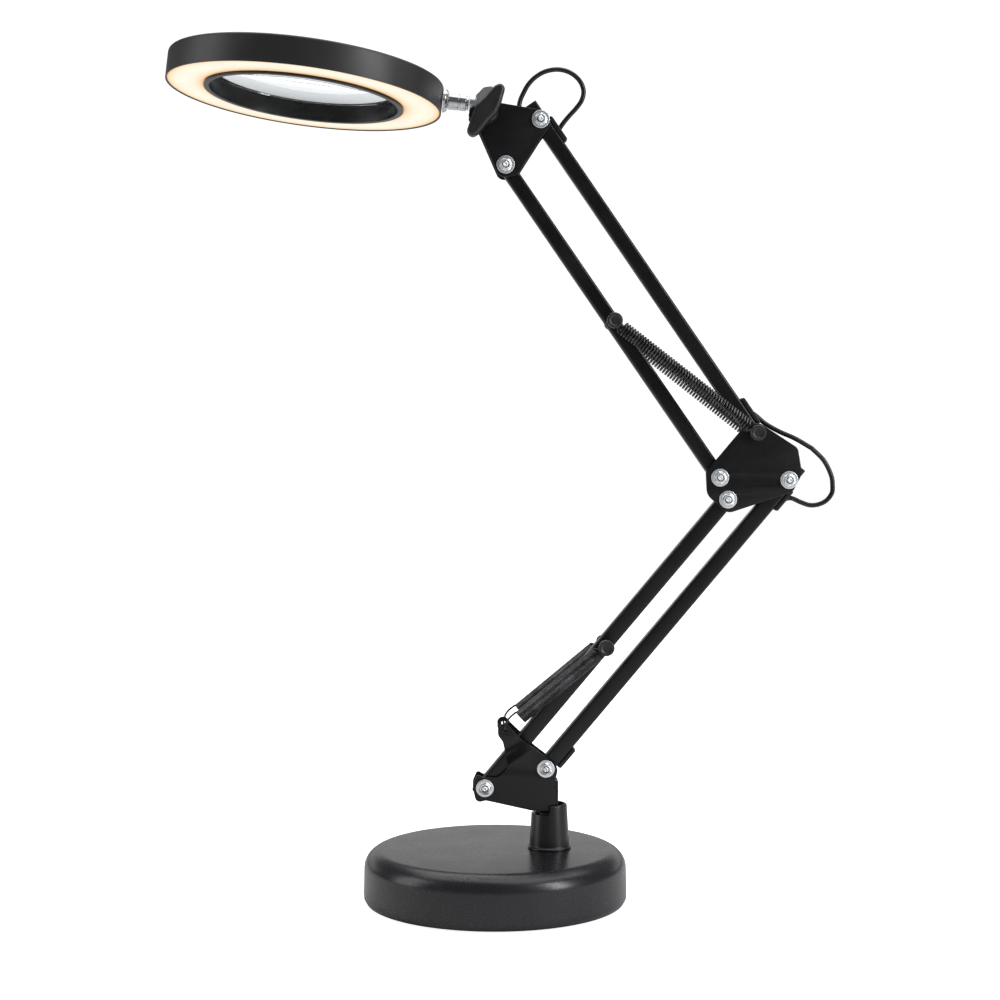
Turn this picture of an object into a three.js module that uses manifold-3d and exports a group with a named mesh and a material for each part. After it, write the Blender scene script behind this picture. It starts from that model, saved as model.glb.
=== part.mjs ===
// Magnifying lamp with a round weighted base, a two-stage spring-balanced
// parallelogram arm and a ring-light magnifier head.
// Millimetres, +Z up.  The origin is the centre of the base's resting face,
// +X runs under the arm towards the elbow, +Y points away from the knob side.
// The arm works in the X-Z plane.
import * as THREE from 'three';
import { mergeVertices } from 'three/addons/utils/BufferGeometryUtils.js';
import Module from 'manifold-3d';

const wasm = await Module();
wasm.setup();

// ---------------------------------------------------------------- dimensions
const GAP = 0.3;                    // clearance between touching pieces

// base
const BASE_R = 77.5;                // base radius
const BASE_H = 31.5;                // height of the base's top face
const BASE_ROUND = 10.5;            // radius of the rounded upper edge
const BASE_WALL = 2.4;
const POST_X = 32;                  // the socket post stands off-centre
const POST_R_TOP = 10.3;
const POST_R_BOTTOM = 11.7;
const POST_FLANGE_R = 12.7;
const POST_BORE_R = 8.7;
const POST_RIM_Z = 52.4;            // cut-away rim
const POST_COLLAR_Z = 58.0;         // standing part of the rim

// arm
const LOWER_TUBE = 9.2;             // square tube, lower bars
const UPPER_TUBE = 8.6;             // square tube, upper bars
const TUBE_WALL = 0.8;
const TUBE_CORNER = 1.5;
const ARM_LOWER = 221;              // pivot to pivot
const ARM_UPPER = 220.5;
const LOWER_ANGLE = 50.0;           // degrees above +X
const UPPER_ANGLE = 124.6;
const BAR_TAIL = 8.6;               // square end beyond a free pivot
const BAR_TAIL_ELBOW = 5.0;         // shorter ends where four bars meet
const BOT_A = [-6.1, 68.2];         // front bar pivot on the bracket (x, z)
const LOWER_LINK = [35.7, 11.4];    // front pivot to back pivot, lower stage
const EL_A_FROM_EL_B = [-4.7, 12.8];// upper front pivot from lower front pivot
const UPPER_LINK = [20.3, 26.2];    // front pivot to back pivot, upper stage
const PLATE_IN = 5.9;               // inner faces of every pair of plates
const PLATE_T = 1.6;
const PLATE_OUT = PLATE_IN + PLATE_T;
const HOLE_R = 1.9;

// springs
const SPRING_Y = 14.5;              // spring axes, in front and behind
const SPRING_R = 4.25;
const POST_ALONG_LOWER = 109.4;     // spring posts along the front bars
const POST_ALONG_UPPER = 110.3;
const EAR = [5.2, 103.3];           // spring hole in the bracket's ears
const EAR_IN = 13.7;                // inner face of the joggled ears

// cable
const CORD_R = 1.4;

// head
const CLAMP = [-4.7, 461.0];        // clamp bolt axis (x, z)
const RING_C = [-110.3, 479.0];     // centre of the ring (x, z)
const RING_R = 80.2;
const RING_H = 16.2;
const RING_TILT = 6.5;              // degrees, arm side lower
const RING_ROLL = -3.2;             // degrees about the shaft
const LENS_R = 55.8;

// ------------------------------------------------------------------- helpers
const rad = THREE.MathUtils.degToRad;

// Merge vertices, drop collapsed triangles and turn every face outwards.
function tidy(geometry) {
  const g = geometry.clone();
  for (const name of Object.keys(g.attributes)) if (name !== 'position') g.deleteAttribute(name);
  g.clearGroups();
  const m = mergeVertices(g, 1e-4);
  const src = m.index.array;
  const p = m.attributes.position;
  let keep = [];
  for (let i = 0; i < src.length; i += 3) {
    const [a, b, c] = [src[i], src[i + 1], src[i + 2]];
    if (a !== b && b !== c && c !== a) keep.push(a, b, c);
  }
  let volume = 0;
  const A = new THREE.Vector3(), B = new THREE.Vector3(), C = new THREE.Vector3();
  for (let i = 0; i < keep.length; i += 3) {
    A.fromBufferAttribute(p, keep[i]); B.fromBufferAttribute(p, keep[i + 1]); C.fromBufferAttribute(p, keep[i + 2]);
    volume += A.dot(B.cross(C));
  }
  if (volume < 0) for (let i = 0; i < keep.length; i += 3) [keep[i + 1], keep[i + 2]] = [keep[i + 2], keep[i + 1]];
  m.setIndex(keep);
  return m;
}

const toSolid = (geometry) => {
  const g = tidy(geometry);
  return new wasm.Manifold(new wasm.Mesh({
    numProp: 3,
    vertProperties: new Float32Array(g.attributes.position.array),
    triVerts: new Uint32Array(g.index.array),
  }));
};
const toGeometry = (solid) => {
  const mesh = solid.getMesh();
  const g = new THREE.BufferGeometry();
  g.setAttribute('position', new THREE.BufferAttribute(new Float32Array(mesh.vertProperties), 3));
  g.setIndex(Array.from(mesh.triVerts));
  return g;
};
const join = (...gs) => toGeometry(gs.map(toSolid).reduce((a, b) => a.add(b)));
const cut = (g, ...tools) => toGeometry(tools.map(toSolid).reduce((a, b) => a.subtract(b), toSolid(g)));
const common = (a, b) => toGeometry(toSolid(a).intersect(toSolid(b)));

// Closed ring or disc from a profile of [radius, z] pairs, about the Z axis.
function turned(profile, segments = 24) {
  const pts = profile.map(([r, z]) => new THREE.Vector2(r, z));
  const onAxis = profile[0][0] === 0 && profile[profile.length - 1][0] === 0;
  if (!onAxis) pts.push(pts[0].clone());
  return new THREE.LatheGeometry(pts, segments).rotateX(Math.PI / 2);
}
// Cylinder between two values of Y.
const rod = (r, y0, y1, segments = 16) =>
  new THREE.CylinderGeometry(r, r, Math.abs(y1 - y0), segments).translate(0, (y0 + y1) / 2, 0);
// Piece turned about the Y axis from [radius, y] pairs.
const turnedY = (profile, segments = 20) => turned(profile, segments).rotateX(-Math.PI / 2);
const block = (x0, x1, y0, y1, z0, z1) =>
  new THREE.BoxGeometry(x1 - x0, y1 - y0, z1 - z0).translate((x0 + x1) / 2, (y0 + y1) / 2, (z0 + z1) / 2);

// Outline in the X-Z plane; each corner is [x, z, radius].
function outline(corners, steps = 4) {
  const pts = [];
  const n = corners.length;
  for (let i = 0; i < n; i++) {
    const [x, z, r = 0] = corners[i];
    const a = new THREE.Vector2(corners[(i + n - 1) % n][0] - x, corners[(i + n - 1) % n][1] - z);
    const b = new THREE.Vector2(corners[(i + 1) % n][0] - x, corners[(i + 1) % n][1] - z);
    if (!r) { pts.push(new THREE.Vector2(x, z)); continue; }
    const la = a.length(), lb = b.length();
    a.divideScalar(la); b.divideScalar(lb);
    const half = Math.acos(THREE.MathUtils.clamp(a.dot(b), -1, 1)) / 2;
    const reach = Math.min(r / Math.tan(half), la * 0.499, lb * 0.499);
    const rr = reach * Math.tan(half);
    const mid = a.clone().add(b).normalize().multiplyScalar(rr / Math.sin(half)).add(new THREE.Vector2(x, z));
    const p0 = a.clone().multiplyScalar(reach).add(new THREE.Vector2(x, z));
    const p1 = b.clone().multiplyScalar(reach).add(new THREE.Vector2(x, z));
    const a0 = Math.atan2(p0.y - mid.y, p0.x - mid.x);
    let da = Math.atan2(p1.y - mid.y, p1.x - mid.x) - a0;
    while (da > Math.PI) da -= 2 * Math.PI;
    while (da < -Math.PI) da += 2 * Math.PI;
    for (let k = 0; k <= steps; k++) {
      const t = a0 + da * k / steps;
      pts.push(new THREE.Vector2(mid.x + rr * Math.cos(t), mid.y + rr * Math.sin(t)));
    }
  }
  if (THREE.ShapeUtils.area(pts) < 0) pts.reverse();
  return new THREE.Shape(pts);
}
function hole(shape, x, z, r, steps = 12) {
  const path = new THREE.Path();
  for (let k = 0; k < steps; k++) {
    const t = -2 * Math.PI * k / steps;
    if (k === 0) path.moveTo(x + r, z); else path.lineTo(x + r * Math.cos(t), z + r * Math.sin(t));
  }
  path.closePath();
  shape.holes.push(path);
  return shape;
}
// Sheet cut to an X-Z outline, filling y0..y1.
const sheet = (shape, y0, y1) =>
  new THREE.ExtrudeGeometry(shape, { depth: y1 - y0, bevelEnabled: false, steps: 1, curveSegments: 6 })
    .rotateX(Math.PI / 2).translate(0, y1, 0);

const finish = (color, roughness, metalness, extra = {}) =>
  new THREE.MeshStandardMaterial({ color, roughness, metalness, ...extra });
const SATIN = () => finish(0x1b1b1c, 0.45, 0.3);
const PLASTIC = () => finish(0x1e1e1f, 0.5, 0.0);
const ZINC = () => finish(0xc8cacc, 0.28, 1.0);
const WIRE = () => finish(0x2a2a2b, 0.35, 0.7);
const CABLE = () => finish(0x141414, 0.6, 0.0);

const lamp = new THREE.Group();
function add(parent, name, geometry, material) {
  const g = tidy(geometry).toNonIndexed();
  g.computeVertexNormals();
  const clean = mergeVertices(g, 1e-4);
  const mesh = new THREE.Mesh(clean, material);
  mesh.name = name;
  parent.add(mesh);
  return mesh;
}
// Nested frame: at (x, z), its +X axis raised by an angle in the X-Z plane.
function frame(x, z, degrees = 0, parent = lamp) {
  const g = new THREE.Group();
  g.position.set(x, 0, z);
  g.rotation.y = -rad(degrees);
  parent.add(g);
  g.updateMatrixWorld(true);
  return g;
}
const inFrame = (geometry, g) => geometry.clone().applyMatrix4(g.matrixWorld.clone().invert());

// -------------------------------------------------------------------- pivots
const polar = (p, length, degrees) =>
  [p[0] + length * Math.cos(rad(degrees)), p[1] + length * Math.sin(rad(degrees))];
const BOT_B = [BOT_A[0] + LOWER_LINK[0], BOT_A[1] + LOWER_LINK[1]];
const EL_B = polar(BOT_A, ARM_LOWER, LOWER_ANGLE);
const EL_C = polar(BOT_B, ARM_LOWER, LOWER_ANGLE);
const EL_A = [EL_B[0] + EL_A_FROM_EL_B[0], EL_B[1] + EL_A_FROM_EL_B[1]];
const EL_D = [EL_A[0] + UPPER_LINK[0], EL_A[1] + UPPER_LINK[1]];
const HEAD_LOW = polar(EL_A, ARM_UPPER, UPPER_ANGLE);
const HEAD_UP = polar(EL_D, ARM_UPPER, UPPER_ANGLE);
const LOWER_POST = polar(BOT_A, POST_ALONG_LOWER, LOWER_ANGLE);
const UPPER_POST = polar(EL_A, POST_ALONG_UPPER, UPPER_ANGLE);

// ---------------------------------------------------------------------- base
// Pressed shell, open underneath.
{
  const outer = [];
  outer.push([BASE_R - 1.6, 1.0], [BASE_R - 0.3, 2.2], [BASE_R, 6]);
  for (let k = 0; k <= 4; k++) {
    const a = Math.PI / 2 * k / 4;
    outer.push([BASE_R - 0.6 - BASE_ROUND + BASE_ROUND * Math.cos(a), BASE_H - BASE_ROUND + BASE_ROUND * Math.sin(a)]);
  }
  outer.push([0, BASE_H]);
  const inner = [[0, BASE_H - BASE_WALL]];
  for (let k = 2; k >= 0; k--) {
    const a = Math.PI / 2 * k / 2, r = BASE_ROUND - BASE_WALL;
    inner.push([BASE_R - BASE_ROUND - 0.6 + r * Math.cos(a), BASE_H - BASE_ROUND + r * Math.sin(a)]);
  }
  inner.push([BASE_R - BASE_WALL - 0.2, 1.0]);
  // closed profile of a cup: the two ends meet on the axis
  const shell = cut(turned([[0, 1.0], ...outer], 44), turned([[0, -5], [BASE_R - BASE_WALL - 0.2, -5], ...inner.slice().reverse()], 44));
  add(lamp, 'base_shell', cut(shell, new THREE.CylinderGeometry(3, 3, 12, 10).rotateX(Math.PI / 2).translate(POST_X, 0, BASE_H)), finish(0x2a2a2b, 0.5, 0.1));
  // cast ballast, with room for the post's bolt head
  add(lamp, 'base_weight', cut(
    turned([[0, 6.5], [68, 6.5], [68, 20.5], [66.5, 22], [0, 22]], 32),
    new THREE.CylinderGeometry(3, 3, 40, 10).rotateX(Math.PI / 2).translate(POST_X, 0, 20),
    new THREE.CylinderGeometry(6, 6, 8, 12).rotateX(Math.PI / 2).translate(POST_X, 0, 6.5)), finish(0x4b4b4d, 0.8, 0.6));
  add(lamp, 'bottom_plate', turned([[0, 1.8], [BASE_R - BASE_WALL - 0.6, 1.8], [BASE_R - BASE_WALL - 0.6, 3.2], [0, 3.2]], 36), finish(0x303032, 0.6, 0.4));
  add(lamp, 'foot_pad', turned([[0, 0], [71, 0], [71, 1.5], [0, 1.5]], 36), finish(0x161616, 0.95, 0));
}
// Socket post: tapered tube with a flange; the rim is cut away towards the arm's foot.
{
  const g = frame(POST_X, 0);
  const z0 = BASE_H + GAP;
  const tube = turned([[2.9, z0], [POST_FLANGE_R, z0], [POST_FLANGE_R, z0 + 1.2], [POST_R_BOTTOM, z0 + 2.2],
    [POST_R_TOP, POST_COLLAR_Z - 0.8], [POST_R_TOP - 0.7, POST_COLLAR_Z], [POST_BORE_R, POST_COLLAR_Z],
    [POST_BORE_R, z0 + 3.5], [2.9, z0 + 3.5]], 26);
  add(g, 'socket_post', cut(tube, block(-20, 1.0, -20, 20, POST_RIM_Z, 70)), PLASTIC());
  add(g, 'post_bolt', turned([[0, 4.6], [4.6, 4.6], [4.6, 8.6], [2.5, 8.6], [2.5, z0 + 6.4], [0, z0 + 6.4]], 12), ZINC());
}

// ------------------------------------------------------------------- bracket
{
  const g = frame(POST_X, 0);
  // plain journal in the socket with a block held between the bracket's cheeks
  add(g, 'swivel_stem', join(
    turned([[0, 39.2], [7.6, 39.2], [8.2, 39.8], [8.2, 53.6], [0, 53.6]], 20),
    block(-8, 3.1, -5.6, 5.6, 53.0, 69.5),
    sheet(outline([[2.9, 53.0], [5.0, 53.0], [5.0, 72.0, 1.2], [3.2, 72.0], [3.2, 69.5], [2.9, 69.5]]), -6.5, 6.5)), SATIN());

  // Cheek outline, drawn in X-Z; its ear is bent outwards to carry a spring.
  const cheek = outline([
    [-13.6, 69.6, 7], [-11.2, 59.6, 7.5], [-5.5, 60.9, 2], [21.3, 54.9, 1], [34.9, 54.5, 0.8], [34.9, 71.0, 2],
    [36.6, 78.5, 3.5], [35.6, 82.0, 3.5], [19.3, 94.4, 6], [9.4, 103.6, 3.4], [6.4, 107.6, 3.4], [1.3, 106.4, 3.4],
    [1.5, 100.6, 3.2], [4.3, 96.6, 2], [6.1, 88.5, 4], [7.9, 80.0, 4], [1.4, 74.6, 4], [-7.2, 74.4, 2], [-10.6, 76.6, 3.5]], 2);
  for (const p of [BOT_A, BOT_B]) hole(cheek, p[0], p[1], HOLE_R, 8);
  hole(cheek, EAR[0], EAR[1], 1.35, 8);
  // Bent sheet: u runs across the two bend lines, v outwards.
  const bendAngle = 32.5;
  const U0 = 65.2, U1 = 74.6;
  const bent = new THREE.Shape([[0, PLATE_IN], [U0, PLATE_IN], [U1, EAR_IN], [140, EAR_IN],
    [140, EAR_IN + PLATE_T], [U1 - 0.8, EAR_IN + PLATE_T], [U0 - 0.8, PLATE_OUT], [0, PLATE_OUT]].map(([u, v]) => new THREE.Vector2(u, v)));
  // local x -> u, local y -> v, extruded along the bend direction
  const nrm = new THREE.Vector3(-Math.sin(rad(bendAngle)), 0, Math.cos(rad(bendAngle)));
  const along = new THREE.Vector3(Math.cos(rad(bendAngle)), 0, Math.sin(rad(bendAngle)));
  const bentGeo = (side) => {
    const e = new THREE.ExtrudeGeometry(bent, { depth: 300, bevelEnabled: false, steps: 1 }).translate(0, 0, -150);
    const m = new THREE.Matrix4().makeBasis(nrm, new THREE.Vector3(0, side, 0), along);
    return e.applyMatrix4(m);
  };
  // the toe round the front pivot stays flat; only the neck is bent
  const toe = block(-30, 3.0, -40, 40, 40, 80);
  const build = (y0, y1, f0, f1, side) => join(
    common(sheet(cheek, f0, f1), toe),
    common(cut(sheet(cheek, y0, y1), toe), bentGeo(side)));
  add(lamp, 'bracket_front', build(-20, -1, -PLATE_OUT, -PLATE_IN, -1), SATIN());
  add(lamp, 'bracket_rear', build(1, 20, PLATE_IN, PLATE_OUT, 1), SATIN());
}

// --------------------------------------------------------------------- cable
// Runs of the internal lead, in X-Z; it goes in and out of the back bars.
const upDir = [Math.cos(rad(UPPER_ANGLE)), Math.sin(rad(UPPER_ANGLE))];
const upOut = [Math.sin(rad(UPPER_ANGLE)), -Math.cos(rad(UPPER_ANGLE))];   // outer side
const loDir = [Math.cos(rad(LOWER_ANGLE)), Math.sin(rad(LOWER_ANGLE))];
const loOut = [Math.sin(rad(LOWER_ANGLE)), -Math.cos(rad(LOWER_ANGLE))];
const onUpper = (s, n) => [EL_D[0] + s * upDir[0] + n * upOut[0], EL_D[1] + s * upDir[1] + n * upOut[1]];
const onLower = (s, n) => [BOT_B[0] + s * loDir[0] + n * loOut[0], BOT_B[1] + s * loDir[1] + n * loOut[1]];
const CORD_UPPER = [[9.2, 461.0], [10.0, 464.4], [11.8, 467.6], [14.6, 470.6], [16.7, 474.6], [19.3, 479.2], [23.3, 483.4], [28.2, 486.4],
  [33.2, 487.8], [37.9, 487.9], [42.6, 486.7], [47.1, 483.9], [50.4, 479.7], [51.6, 474.9], [50.4, 470.0], [47.3, 465.6], [43.2, 461.6],
  onUpper(214.3, 9.6), onUpper(210.6, 6.7), onUpper(206.6, 3.6), onUpper(201.8, 1.2), onUpper(196, 0.2), onUpper(190, 0),
  onUpper(150, 0), onUpper(110, 0), onUpper(70, 0), onUpper(32, 0), onUpper(24, 0.1), onUpper(18.5, 0.9), onUpper(13.6, 3.4), onUpper(9.2, 6.3),
  [158.6, 281.9], [166.7, 277.3], [176.2, 273.1], [186.2, 267.3], [193.4, 260.0], [197.9, 250.6], [198.5, 245.8]];
const CORD_LOWER = [[198.5, 245.4], [198.2, 241.2], [195.2, 236.9], [190.4, 234.4], [185.2, 233.9], [179.9, 235.6],
  onLower(214.2, 8.8), onLower(211.0, 6.0), onLower(206.9, 3.1), onLower(201.6, 0.9), onLower(196, 0.1), onLower(190, 0),
  onLower(150, 0), onLower(110, 0), onLower(70, 0), onLower(36, 0), onLower(28, 0.2), onLower(22.5, 1.3), onLower(18, 3.4), onLower(14.6, 5.4)];
function hose(points, radius, sides, steps) {
  const curve = new THREE.CatmullRomCurve3(points.map(([x, z]) => new THREE.Vector3(x, 0, z)), false, 'centripetal');
  const ring = new THREE.Shape();
  for (let k = 0; k < sides; k++) {
    const t = 2 * Math.PI * (k + 0.5) / sides;
    if (k === 0) ring.moveTo(radius * Math.cos(t), radius * Math.sin(t)); else ring.lineTo(radius * Math.cos(t), radius * Math.sin(t));
  }
  ring.closePath();
  // sample evenly in the parameter, so that the bends keep their points
  class Eased extends THREE.Curve {
    getPoint(t, target = new THREE.Vector3()) { return curve.getPoint(t, target); }
    getPointAt(t, target = new THREE.Vector3()) { return curve.getPoint(t, target); }
    getTangentAt(t, target = new THREE.Vector3()) { return curve.getTangent(t, target); }
  }
  return new THREE.ExtrudeGeometry(ring, { steps, extrudePath: new Eased(), bevelEnabled: false });
}
const cordUpper = hose(CORD_UPPER, CORD_R, 8, 60);
const cordLower = hose(CORD_LOWER, CORD_R, 8, 36);
const cordUpperWay = hose(CORD_UPPER, CORD_R + 0.6, 8, 60);
const cordLowerWay = hose([...CORD_LOWER, onLower(11.4, 8.2), onLower(9, 11)], CORD_R + 0.6, 8, 40);
add(lamp, 'cord_upper', cordUpper, CABLE());
add(lamp, 'cord_lower', cordLower, CABLE());

// ---------------------------------------------------------------------- bars
function squareTube(size, x0, x1) {
  const h = size / 2, r = TUBE_CORNER, i = h - TUBE_WALL;
  const s = outline([[-h, -h, r], [h, -h, r], [h, h, r], [-h, h, r]], 2);
  const inner = new THREE.Path(outline([[-i, -i, 0.8], [-i, i, 0.8], [i, i, 0.8], [i, -i, 0.8]], 1).getPoints());
  s.holes.push(inner);
  return new THREE.ExtrudeGeometry(s, { depth: x1 - x0, bevelEnabled: false, steps: 1 }).rotateY(Math.PI / 2).translate(x0, 0, 0);
}
function bar(name, size, group, x0, x1, pins, way) {
  const tools = pins.map((x) => rod(HOLE_R, -12, 12, 8).translate(x, 0, 0));
  if (way) tools.push(inFrame(way, group));
  add(group, name, cut(squareTube(size, x0, x1), ...tools), SATIN());
}
const lowerFront = frame(BOT_A[0], BOT_A[1], LOWER_ANGLE);
const lowerBack = frame(BOT_B[0], BOT_B[1], LOWER_ANGLE);
const upperFront = frame(EL_A[0], EL_A[1], UPPER_ANGLE);
const upperBack = frame(EL_D[0], EL_D[1], UPPER_ANGLE);
bar('lower_front_bar', LOWER_TUBE, lowerFront, -BAR_TAIL + 2.4, ARM_LOWER + BAR_TAIL_ELBOW, [0, POST_ALONG_LOWER, ARM_LOWER]);
bar('lower_back_bar', LOWER_TUBE, lowerBack, -BAR_TAIL + 2.4, ARM_LOWER + BAR_TAIL + 1.8, [0, ARM_LOWER], cordLowerWay);
bar('upper_front_bar', UPPER_TUBE, upperFront, -BAR_TAIL_ELBOW, ARM_UPPER + BAR_TAIL_ELBOW, [0, POST_ALONG_UPPER, ARM_UPPER]);
bar('upper_back_bar', UPPER_TUBE, upperBack, -BAR_TAIL_ELBOW, ARM_UPPER + BAR_TAIL + 2.6, [0, ARM_UPPER], cordUpperWay);

// Moulded cable clips on the outer faces of the back bars.
function clip(name, group, half, x0, x1, way) {
  const z1 = -half - GAP, z0 = z1 - 2.5;
  const pad = sheet(outline([[x0, z1, 0.4], [x0, z0, 2.2], [x1, z0, 2.2], [x1, z1, 0.4]], 2), -3.6, 3.6);
  add(group, name, cut(pad, inFrame(way, group)), PLASTIC());
}
clip('cord_clip_head', upperBack, UPPER_TUBE / 2, 202.3, 219.4, cordUpperWay);
clip('cord_clip_elbow_upper', upperBack, UPPER_TUBE / 2, 2.6, 20.6, cordUpperWay);
clip('cord_clip_elbow_lower', lowerBack, LOWER_TUBE / 2, 202.6, 218.0, cordLowerWay);
clip('cord_outlet', lowerBack, LOWER_TUBE / 2, 5.0, 19.4, cordLowerWay);

// --------------------------------------------------------------- side plates
{
  const elbow = outline([
    [122.9, 253.6, 2.5], [143.1, 277.6, 3], [152.9, 283.2, 6.5], [176.9, 267.6, 4.5], [179.4, 252.4, 3], [173.9, 241.8, 5.5],
    [135.7, 229.2, 6], [123.6, 240.2, 8]], 3);
  const elbowRear = outline([
    [124.8, 253.6, 2.5], [144.6, 277.2, 3], [152.9, 283.2, 6.5], [176.9, 267.6, 4.5], [179.4, 252.4, 3], [173.9, 241.8, 5.5],
    [135.9, 229.4, 6], [125.2, 240.4, 7.5]], 3);
  for (const p of [EL_A, EL_B, EL_C, EL_D]) { hole(elbow, p[0], p[1], HOLE_R, 8); hole(elbowRear, p[0], p[1], HOLE_R, 8); }
  add(lamp, 'elbow_plate_front', sheet(elbow, -PLATE_OUT, -PLATE_IN), SATIN());
  add(lamp, 'elbow_plate_rear', sheet(elbowRear, PLATE_IN, PLATE_OUT), SATIN());
  const head = outline([
    [-15.6, 466.2, 1.8], [3.0, 467.7, 3], [26.2, 463.6, 3.5], [33.8, 456.6, 4.5], [26.0, 446.4, 8], [12.6, 425.4, 5], [2.4, 424.4, 5],
    [-9.1, 450.6, 8], [-15.6, 459.6, 2.2]], 3);
  for (const p of [HEAD_LOW, HEAD_UP]) hole(head, p[0], p[1], HOLE_R, 8);
  hole(head, CLAMP[0], CLAMP[1], 3.0, 10);
  add(lamp, 'head_plate_front', sheet(head, -PLATE_OUT, -PLATE_IN), SATIN());
  add(lamp, 'head_plate_rear', sheet(head, PLATE_IN, PLATE_OUT), SATIN());
}

// ---------------------------------------------------------- pivot fastenings
// Flanged bolt from the back, flanged nut on the front.
const hexagon = (af, y0, y1) => new THREE.CylinderGeometry(af / Math.sqrt(3), af / Math.sqrt(3), y1 - y0, 6).translate(0, (y0 + y1) / 2, 0);
function pivot(name, p) {
  const g = frame(p[0], p[1]);
  const face = PLATE_OUT + GAP;
  add(g, `${name}_bolt`, join(
    turnedY([[0, -face - 4.2], [1.5, -face - 4.2], [1.5, face + 0.2], [0, face + 0.2]], 8),
    turnedY([[0, face], [5.2, face], [5.2, face + 0.6], [4.4, face + 1.1], [0, face + 1.1]], 14),
    hexagon(5.5, face + 0.6, face + 3.4)), ZINC());
  add(g, `${name}_nut`, cut(join(
    turnedY([[0, -face - 1.1], [4.4, -face - 1.1], [5.2, -face - 0.6], [5.2, -face], [0, -face]], 14),
    hexagon(5.5, -face - 3.2, -face - 0.6)), rod(1.8, -30, 0, 8)), ZINC());
}
pivot('bracket_front_pivot', BOT_A);
pivot('bracket_back_pivot', BOT_B);
pivot('elbow_lower_front_pivot', EL_B);
pivot('elbow_lower_back_pivot', EL_C);
pivot('elbow_upper_front_pivot', EL_A);
pivot('head_front_pivot', HEAD_LOW);
pivot('head_back_pivot', HEAD_UP);

// Spring posts: a rod through the piece with a round cap at the front.
function post(name, p, seat) {
  const g = frame(p[0], p[1]);
  const s = seat + GAP, e0 = SPRING_Y - 1.0, c = SPRING_Y + SPRING_R + 0.4;
  add(g, name, turnedY([[0, -c - 3.4], [4.0, -c - 3.4], [4.6, -c - 2.7], [4.6, -c], [1.6, -c], [1.6, -e0], [3.0, -e0], [3.0, -s], [1.6, -s],
    [1.6, s], [3.0, s], [3.0, e0], [1.6, e0], [1.6, c], [3.4, c], [3.4, c + 1.8], [2.6, c + 2.4], [0, c + 2.4]], 12), PLASTIC());
}
post('lower_spring_post', LOWER_POST, LOWER_TUBE / 2);
post('upper_spring_post', UPPER_POST, UPPER_TUBE / 2);
post('elbow_spring_post', EL_D, PLATE_OUT);

// ------------------------------------------------------------------- springs
// Tension springs as their outer envelope; the end loops are separate pieces
// where they meet the posts on the front bars.
const angleOf = (a, b) => THREE.MathUtils.radToDeg(Math.atan2(b[1] - a[1], b[0] - a[0]));
const lengthOf = (a, b) => Math.hypot(b[0] - a[0], b[1] - a[1]);
const eye = (y) => turnedY([[2.0, y - 0.6], [3.2, y - 0.6], [3.2, y + 0.6], [2.0, y + 0.6]], 10);
function springPair(stage, from, to, start) {
  const L = lengthOf(from, to), a = angleOf(from, to);
  for (const [side, y] of [['front', -SPRING_Y], ['rear', SPRING_Y]]) {
    const g = frame(from[0], from[1], a);
    const out = Math.sign(y);
    const coil = new THREE.CylinderGeometry(SPRING_R, SPRING_R, L - 6.2 - start, 10).rotateZ(Math.PI / 2).translate((L - 6.2 + start) / 2, y, 0);
    let near;
    if (stage === 'upper') near = [eye(y), block(2.6, start + 0.5, y - 0.6, y + 0.6, -0.7, 0.7)];
    else {
      const y0 = out * (EAR_IN + PLATE_T + GAP), y1 = y0 + out * 1.2;
      const lo = Math.min(y0, y1), hi = Math.max(y0, y1);
      near = [block(-0.9, start + 0.5, lo, hi, -0.7, 0.7), rod(0.9, out * (EAR_IN - 0.8), y1, 8)];
    }
    add(g, `${stage}_spring_${side}`, join(coil, ...near), WIRE());
    const h = new THREE.Group();
    h.position.set(L, 0, 0);
    g.add(h);
    add(h, `${stage}_spring_hook_${side}`, join(eye(y), block(-5.9, -2.6, y - 0.6, y + 0.6, -0.7, 0.7)), WIRE());
  }
}
springPair('lower', EAR, LOWER_POST, 13.0);
springPair('upper', EL_D, UPPER_POST, 6.0);

// ----------------------------------------------------------------- head joint
{
  const g = frame(CLAMP[0], CLAMP[1]);
  add(g, 'clamp_bolt', turnedY([[0, -20], [2.5, -20], [2.5, PLATE_OUT + GAP], [5.4, PLATE_OUT + GAP], [5.4, 9.2], [4.2, 10.8], [0, 11.4]], 12), ZINC());
  const wings = outline([[9.2, 477.2, 4], [7.9, 465.9, 5], [5.2, 459.6, 5], [-0.6, 455.4, 5], [-9.0, 447.4, 4], [-13.4, 444.4, 4], [-17.6, 448.0, 4],
    [-14.2, 456.0, 8], [-11.0, 464.6, 6], [-4.8, 469.6, 6], [0.4, 477.0, 4]].map(([x, z, r]) => [x - CLAMP[0] - (x > -4.7 && z > 450 ? 3.0 : 0), z - CLAMP[1], r]), 2);
  const knob = join(sheet(wings, -24.0, -15.0), rod(6.4, -16, -PLATE_OUT - GAP, 16));
  add(g, 'wing_knob', cut(knob, rod(2.8, -20.6, 0, 10)), PLASTIC());
}

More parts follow.
